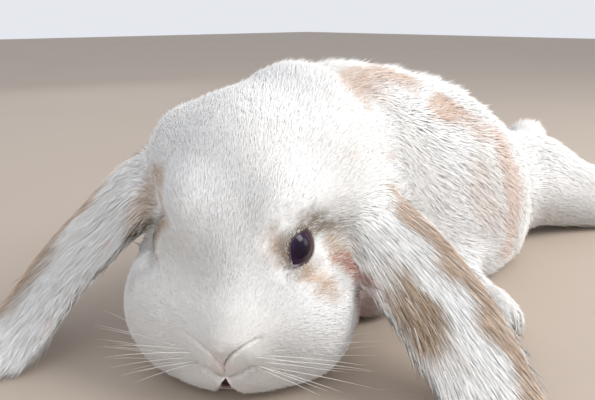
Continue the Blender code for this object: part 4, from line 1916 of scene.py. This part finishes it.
@dataclass(frozen=True)
class EyeFinish:
    """Wet, nearly black violet eye with a dark iris and a red lower edge.

    The iris and the edge have reaches in metres.
    """

    socket: EyeSocket
    iris: float = 0.0125
    edge: float = 0.0092

    def make(self) -> bpy.types.Material:
        """Paint the iris by distance from its front, and the red edge by height.

        Returns:
            The material.
        """
        side = "left" if self.socket.side > 0 else "right"
        finish = Finish(f"eye_{side}")
        rows = self.socket.axes()
        front = HEAD.place(self.socket.middle() + rows[2] * self.socket.radius)
        place = finish.node("ShaderNodeTexCoord", {}, {}).outputs["Object"]
        away = finish.node("ShaderNodeVectorMath", {"operation": "DISTANCE"},
                           {0: place, 1: tuple(front)})
        ring = Wire(finish, away.outputs["Value"]) * (1 / self.iris)
        fibres = finish.noise(700.0)
        blur = ring + (fibres - 0.5) * 0.10
        stops = [(0.0, linear(18, 9, 24)), (0.34, linear(22, 11, 30)), (0.42, linear(40, 20, 50)),
                 (0.62, linear(34, 14, 42)), (0.74, linear(26, 10, 26)), (0.9, linear(34, 10, 16))]
        iris = finish.node("ShaderNodeValToRGB", {"stops": stops}, {0: blur}).outputs["Color"]
        behind = HEAD.turned((-0.85 * rows[1] - 0.5 * rows[0])[None])[0]
        level = float(HEAD.place(self.socket.middle()) @ behind)
        reach = finish.node("ShaderNodeVectorMath", {"operation": "DOT_PRODUCT"},
                            {0: place, 1: tuple(behind)})
        low = (Wire(finish, reach.outputs["Value"]) - level) * (1 / self.edge)
        glow = finish.node("ShaderNodeMapRange", {"interpolation_type": "SMOOTHSTEP"},
                           {0: low + (fibres - 0.5) * 0.2, 1: 0.05, 2: 0.75, 3: 0.0,
                            4: 0.8}).outputs[0]
        colour = finish.mixed(Wire(finish, glow), iris, (*linear(74, 12, 24), 1))
        finish.set(Base_Color=colour, Roughness=0.20, Coat_Weight=0.12, Coat_Roughness=0.06,
                   Specular_IOR_Level=0.15)
        return finish.material


@dataclass(frozen=True)
class HairFinish:
    """Single hairs of one colour, a little glossy."""

    name: str
    colour: tuple[float, float, float]
    roughness: float = 0.4
    darkest: float = 0.75

    def make(self) -> bpy.types.Material:
        """Mix the hair's colour with a darker one.

        Returns:
            The material.
        """
        finish = Finish(self.name)
        tone = finish.noise(300.0)
        dark = tuple(level * self.darkest for level in self.colour)
        shade = finish.between(tone, self.colour, dark)
        finish.set(Base_Color=shade, Roughness=self.roughness)
        return finish.material


@dataclass(frozen=True)
class HornFinish:
    """Pale translucent-looking horn with fine lengthwise streaks."""

    def make(self) -> bpy.types.Material:
        """Streak the horn with a browner tone.

        Returns:
            The material.
        """
        finish = Finish("horn")
        streak = finish.noise(1200.0, 2.0)
        shade = finish.between(streak, linear(214, 190, 172), linear(168, 132, 112))
        finish.set(Base_Color=shade, Roughness=0.32 + streak * 0.1, Specular_IOR_Level=0.5)
        finish.bump(streak, 0.3, 0.0001)
        return finish.material


@dataclass(frozen=True)
class Lamp:
    """One soft square lamp, with its side in metres and its power in watts."""

    name: str
    place: tuple[float, float, float]
    size: float
    power: float
    colour: tuple[float, float, float]

    def hang(self, target: tuple[float, float, float]) -> None:
        """Hang the lamp so that it looks at a place.

        Args:
            target: the place.
        """
        data = bpy.data.lights.new(self.name, "AREA")
        data.size = self.size
        data.energy = self.power
        data.color = self.colour
        lamp = linked(self.name, data)
        lamp.location = self.place
        aim = Vector(target) - Vector(self.place)
        lamp.rotation_euler = aim.to_track_quat("-Z", "Y").to_euler()


@dataclass
class Studio:
    """Plain pale floor, soft lights and the camera."""

    place: tuple[float, float, float] = (0.16390, -0.28833, 0.140)
    down: float = 17.0
    round_by: float = 45.0
    lens: float = 36.303
    target: tuple[float, float, float] = (-0.03, -0.05, 0.04)
    sky: tuple[float, float, float] = (0.92, 0.94, 1.0)
    sky_strength: float = 0.86
    floor_size: float = 4.0
    floor_drop: float = 0.0002
    lamps: tuple[Lamp, ...] = (
        Lamp("key", (0.76, 0.38, 0.88), 0.6, 12.8, (1.0, 0.99, 0.98)),
        Lamp("fill", (0.45, -0.75, 0.70), 0.9, 2.5, (1.0, 0.98, 0.95)),
        Lamp("back", (0.75, 0.80, 0.30), 0.5, 2.4, (1.0, 0.98, 0.98)),
        Lamp("side", (-0.9, 0.1, 0.5), 0.8, 1.0, (0.97, 0.98, 1.0)),
    )

    def floor(self) -> bpy.types.Object:
        """Lay a wide floor just under the animal.

        Returns:
            The floor.
        """
        sheet = bmesh.new()
        bmesh.ops.create_grid(sheet, x_segments=24, y_segments=24, size=self.floor_size)
        bmesh.ops.translate(sheet, verts=sheet.verts, vec=(0, 0, -self.floor_drop))
        piece = from_bmesh("floor", sheet)
        finish = Finish("floor")
        cloud = finish.noise(3.0)
        shade = finish.between(cloud, linear(174, 162, 150), linear(167, 154, 141))
        finish.set(Base_Color=shade, Roughness=0.7, Specular_IOR_Level=0.2)
        piece.data.materials.append(finish.material)
        return piece

    def build(self) -> bpy.types.Object:
        """Make the studio.

        Returns:
            The floor.
        """
        scene = bpy.context.scene
        data = bpy.data.cameras.new("camera")
        data.sensor_width = 36.0
        data.lens = self.lens
        data.clip_start = 0.01
        camera = linked("camera", data)
        camera.location = self.place
        camera.rotation_euler = (math.radians(90 - self.down), 0.0, math.radians(self.round_by))
        scene.camera = camera
        world = bpy.data.worlds.new("world")
        world.use_nodes = True
        back = world.node_tree.nodes["Background"]
        back.inputs["Color"].default_value = (*self.sky, 1)
        back.inputs["Strength"].default_value = self.sky_strength
        scene.world = world
        scene.view_settings.view_transform = "Standard"
        for lamp in self.lamps:
            lamp.hang(self.target)
        return self.floor()


def settle(piece: bpy.types.Object, material: bpy.types.Material) -> None:
    """Give a finished piece its body and its material.

    Args:
        piece: the piece.
        material: its material.
    """
    piece.data.materials.clear()
    piece.data.materials.append(material)
    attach(piece, "root")


def main() -> None:
    """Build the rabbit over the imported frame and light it."""
    logging.basicConfig(level=logging.INFO, format="%(message)s")
    rng = np.random.default_rng(SEED + 1)
    skin, surface = Skin().build()
    settle(skin, SkinFinish().make())
    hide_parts(*FLESH)
    hair = CoatFinish().make()
    tree = BVHTree.FromPolygons(surface.points.tolist(), surface.triangles.tolist())
    for piece in Pelt(surface, tree).build():
        settle(piece, hair)
    for socket in SOCKETS.values():
        eye = Eye(socket).build()
        settle(eye, EyeFinish(socket).make())
        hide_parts("eye_left" if socket.side > 0 else "eye_right")
        LOG.info("%s: built", eye.name)
    whiskers = Whiskers(surface).build(rng)
    settle(whiskers, HairFinish("whisker", linear(236, 232, 226)).make())
    lashes = Lashes().build(rng)
    settle(lashes, HairFinish("lash", linear(58, 48, 44), 0.5).make())
    claws = Claws().build()
    settle(claws, HornFinish().make())
    Studio().build()


if __name__ == "__main__":
    main()
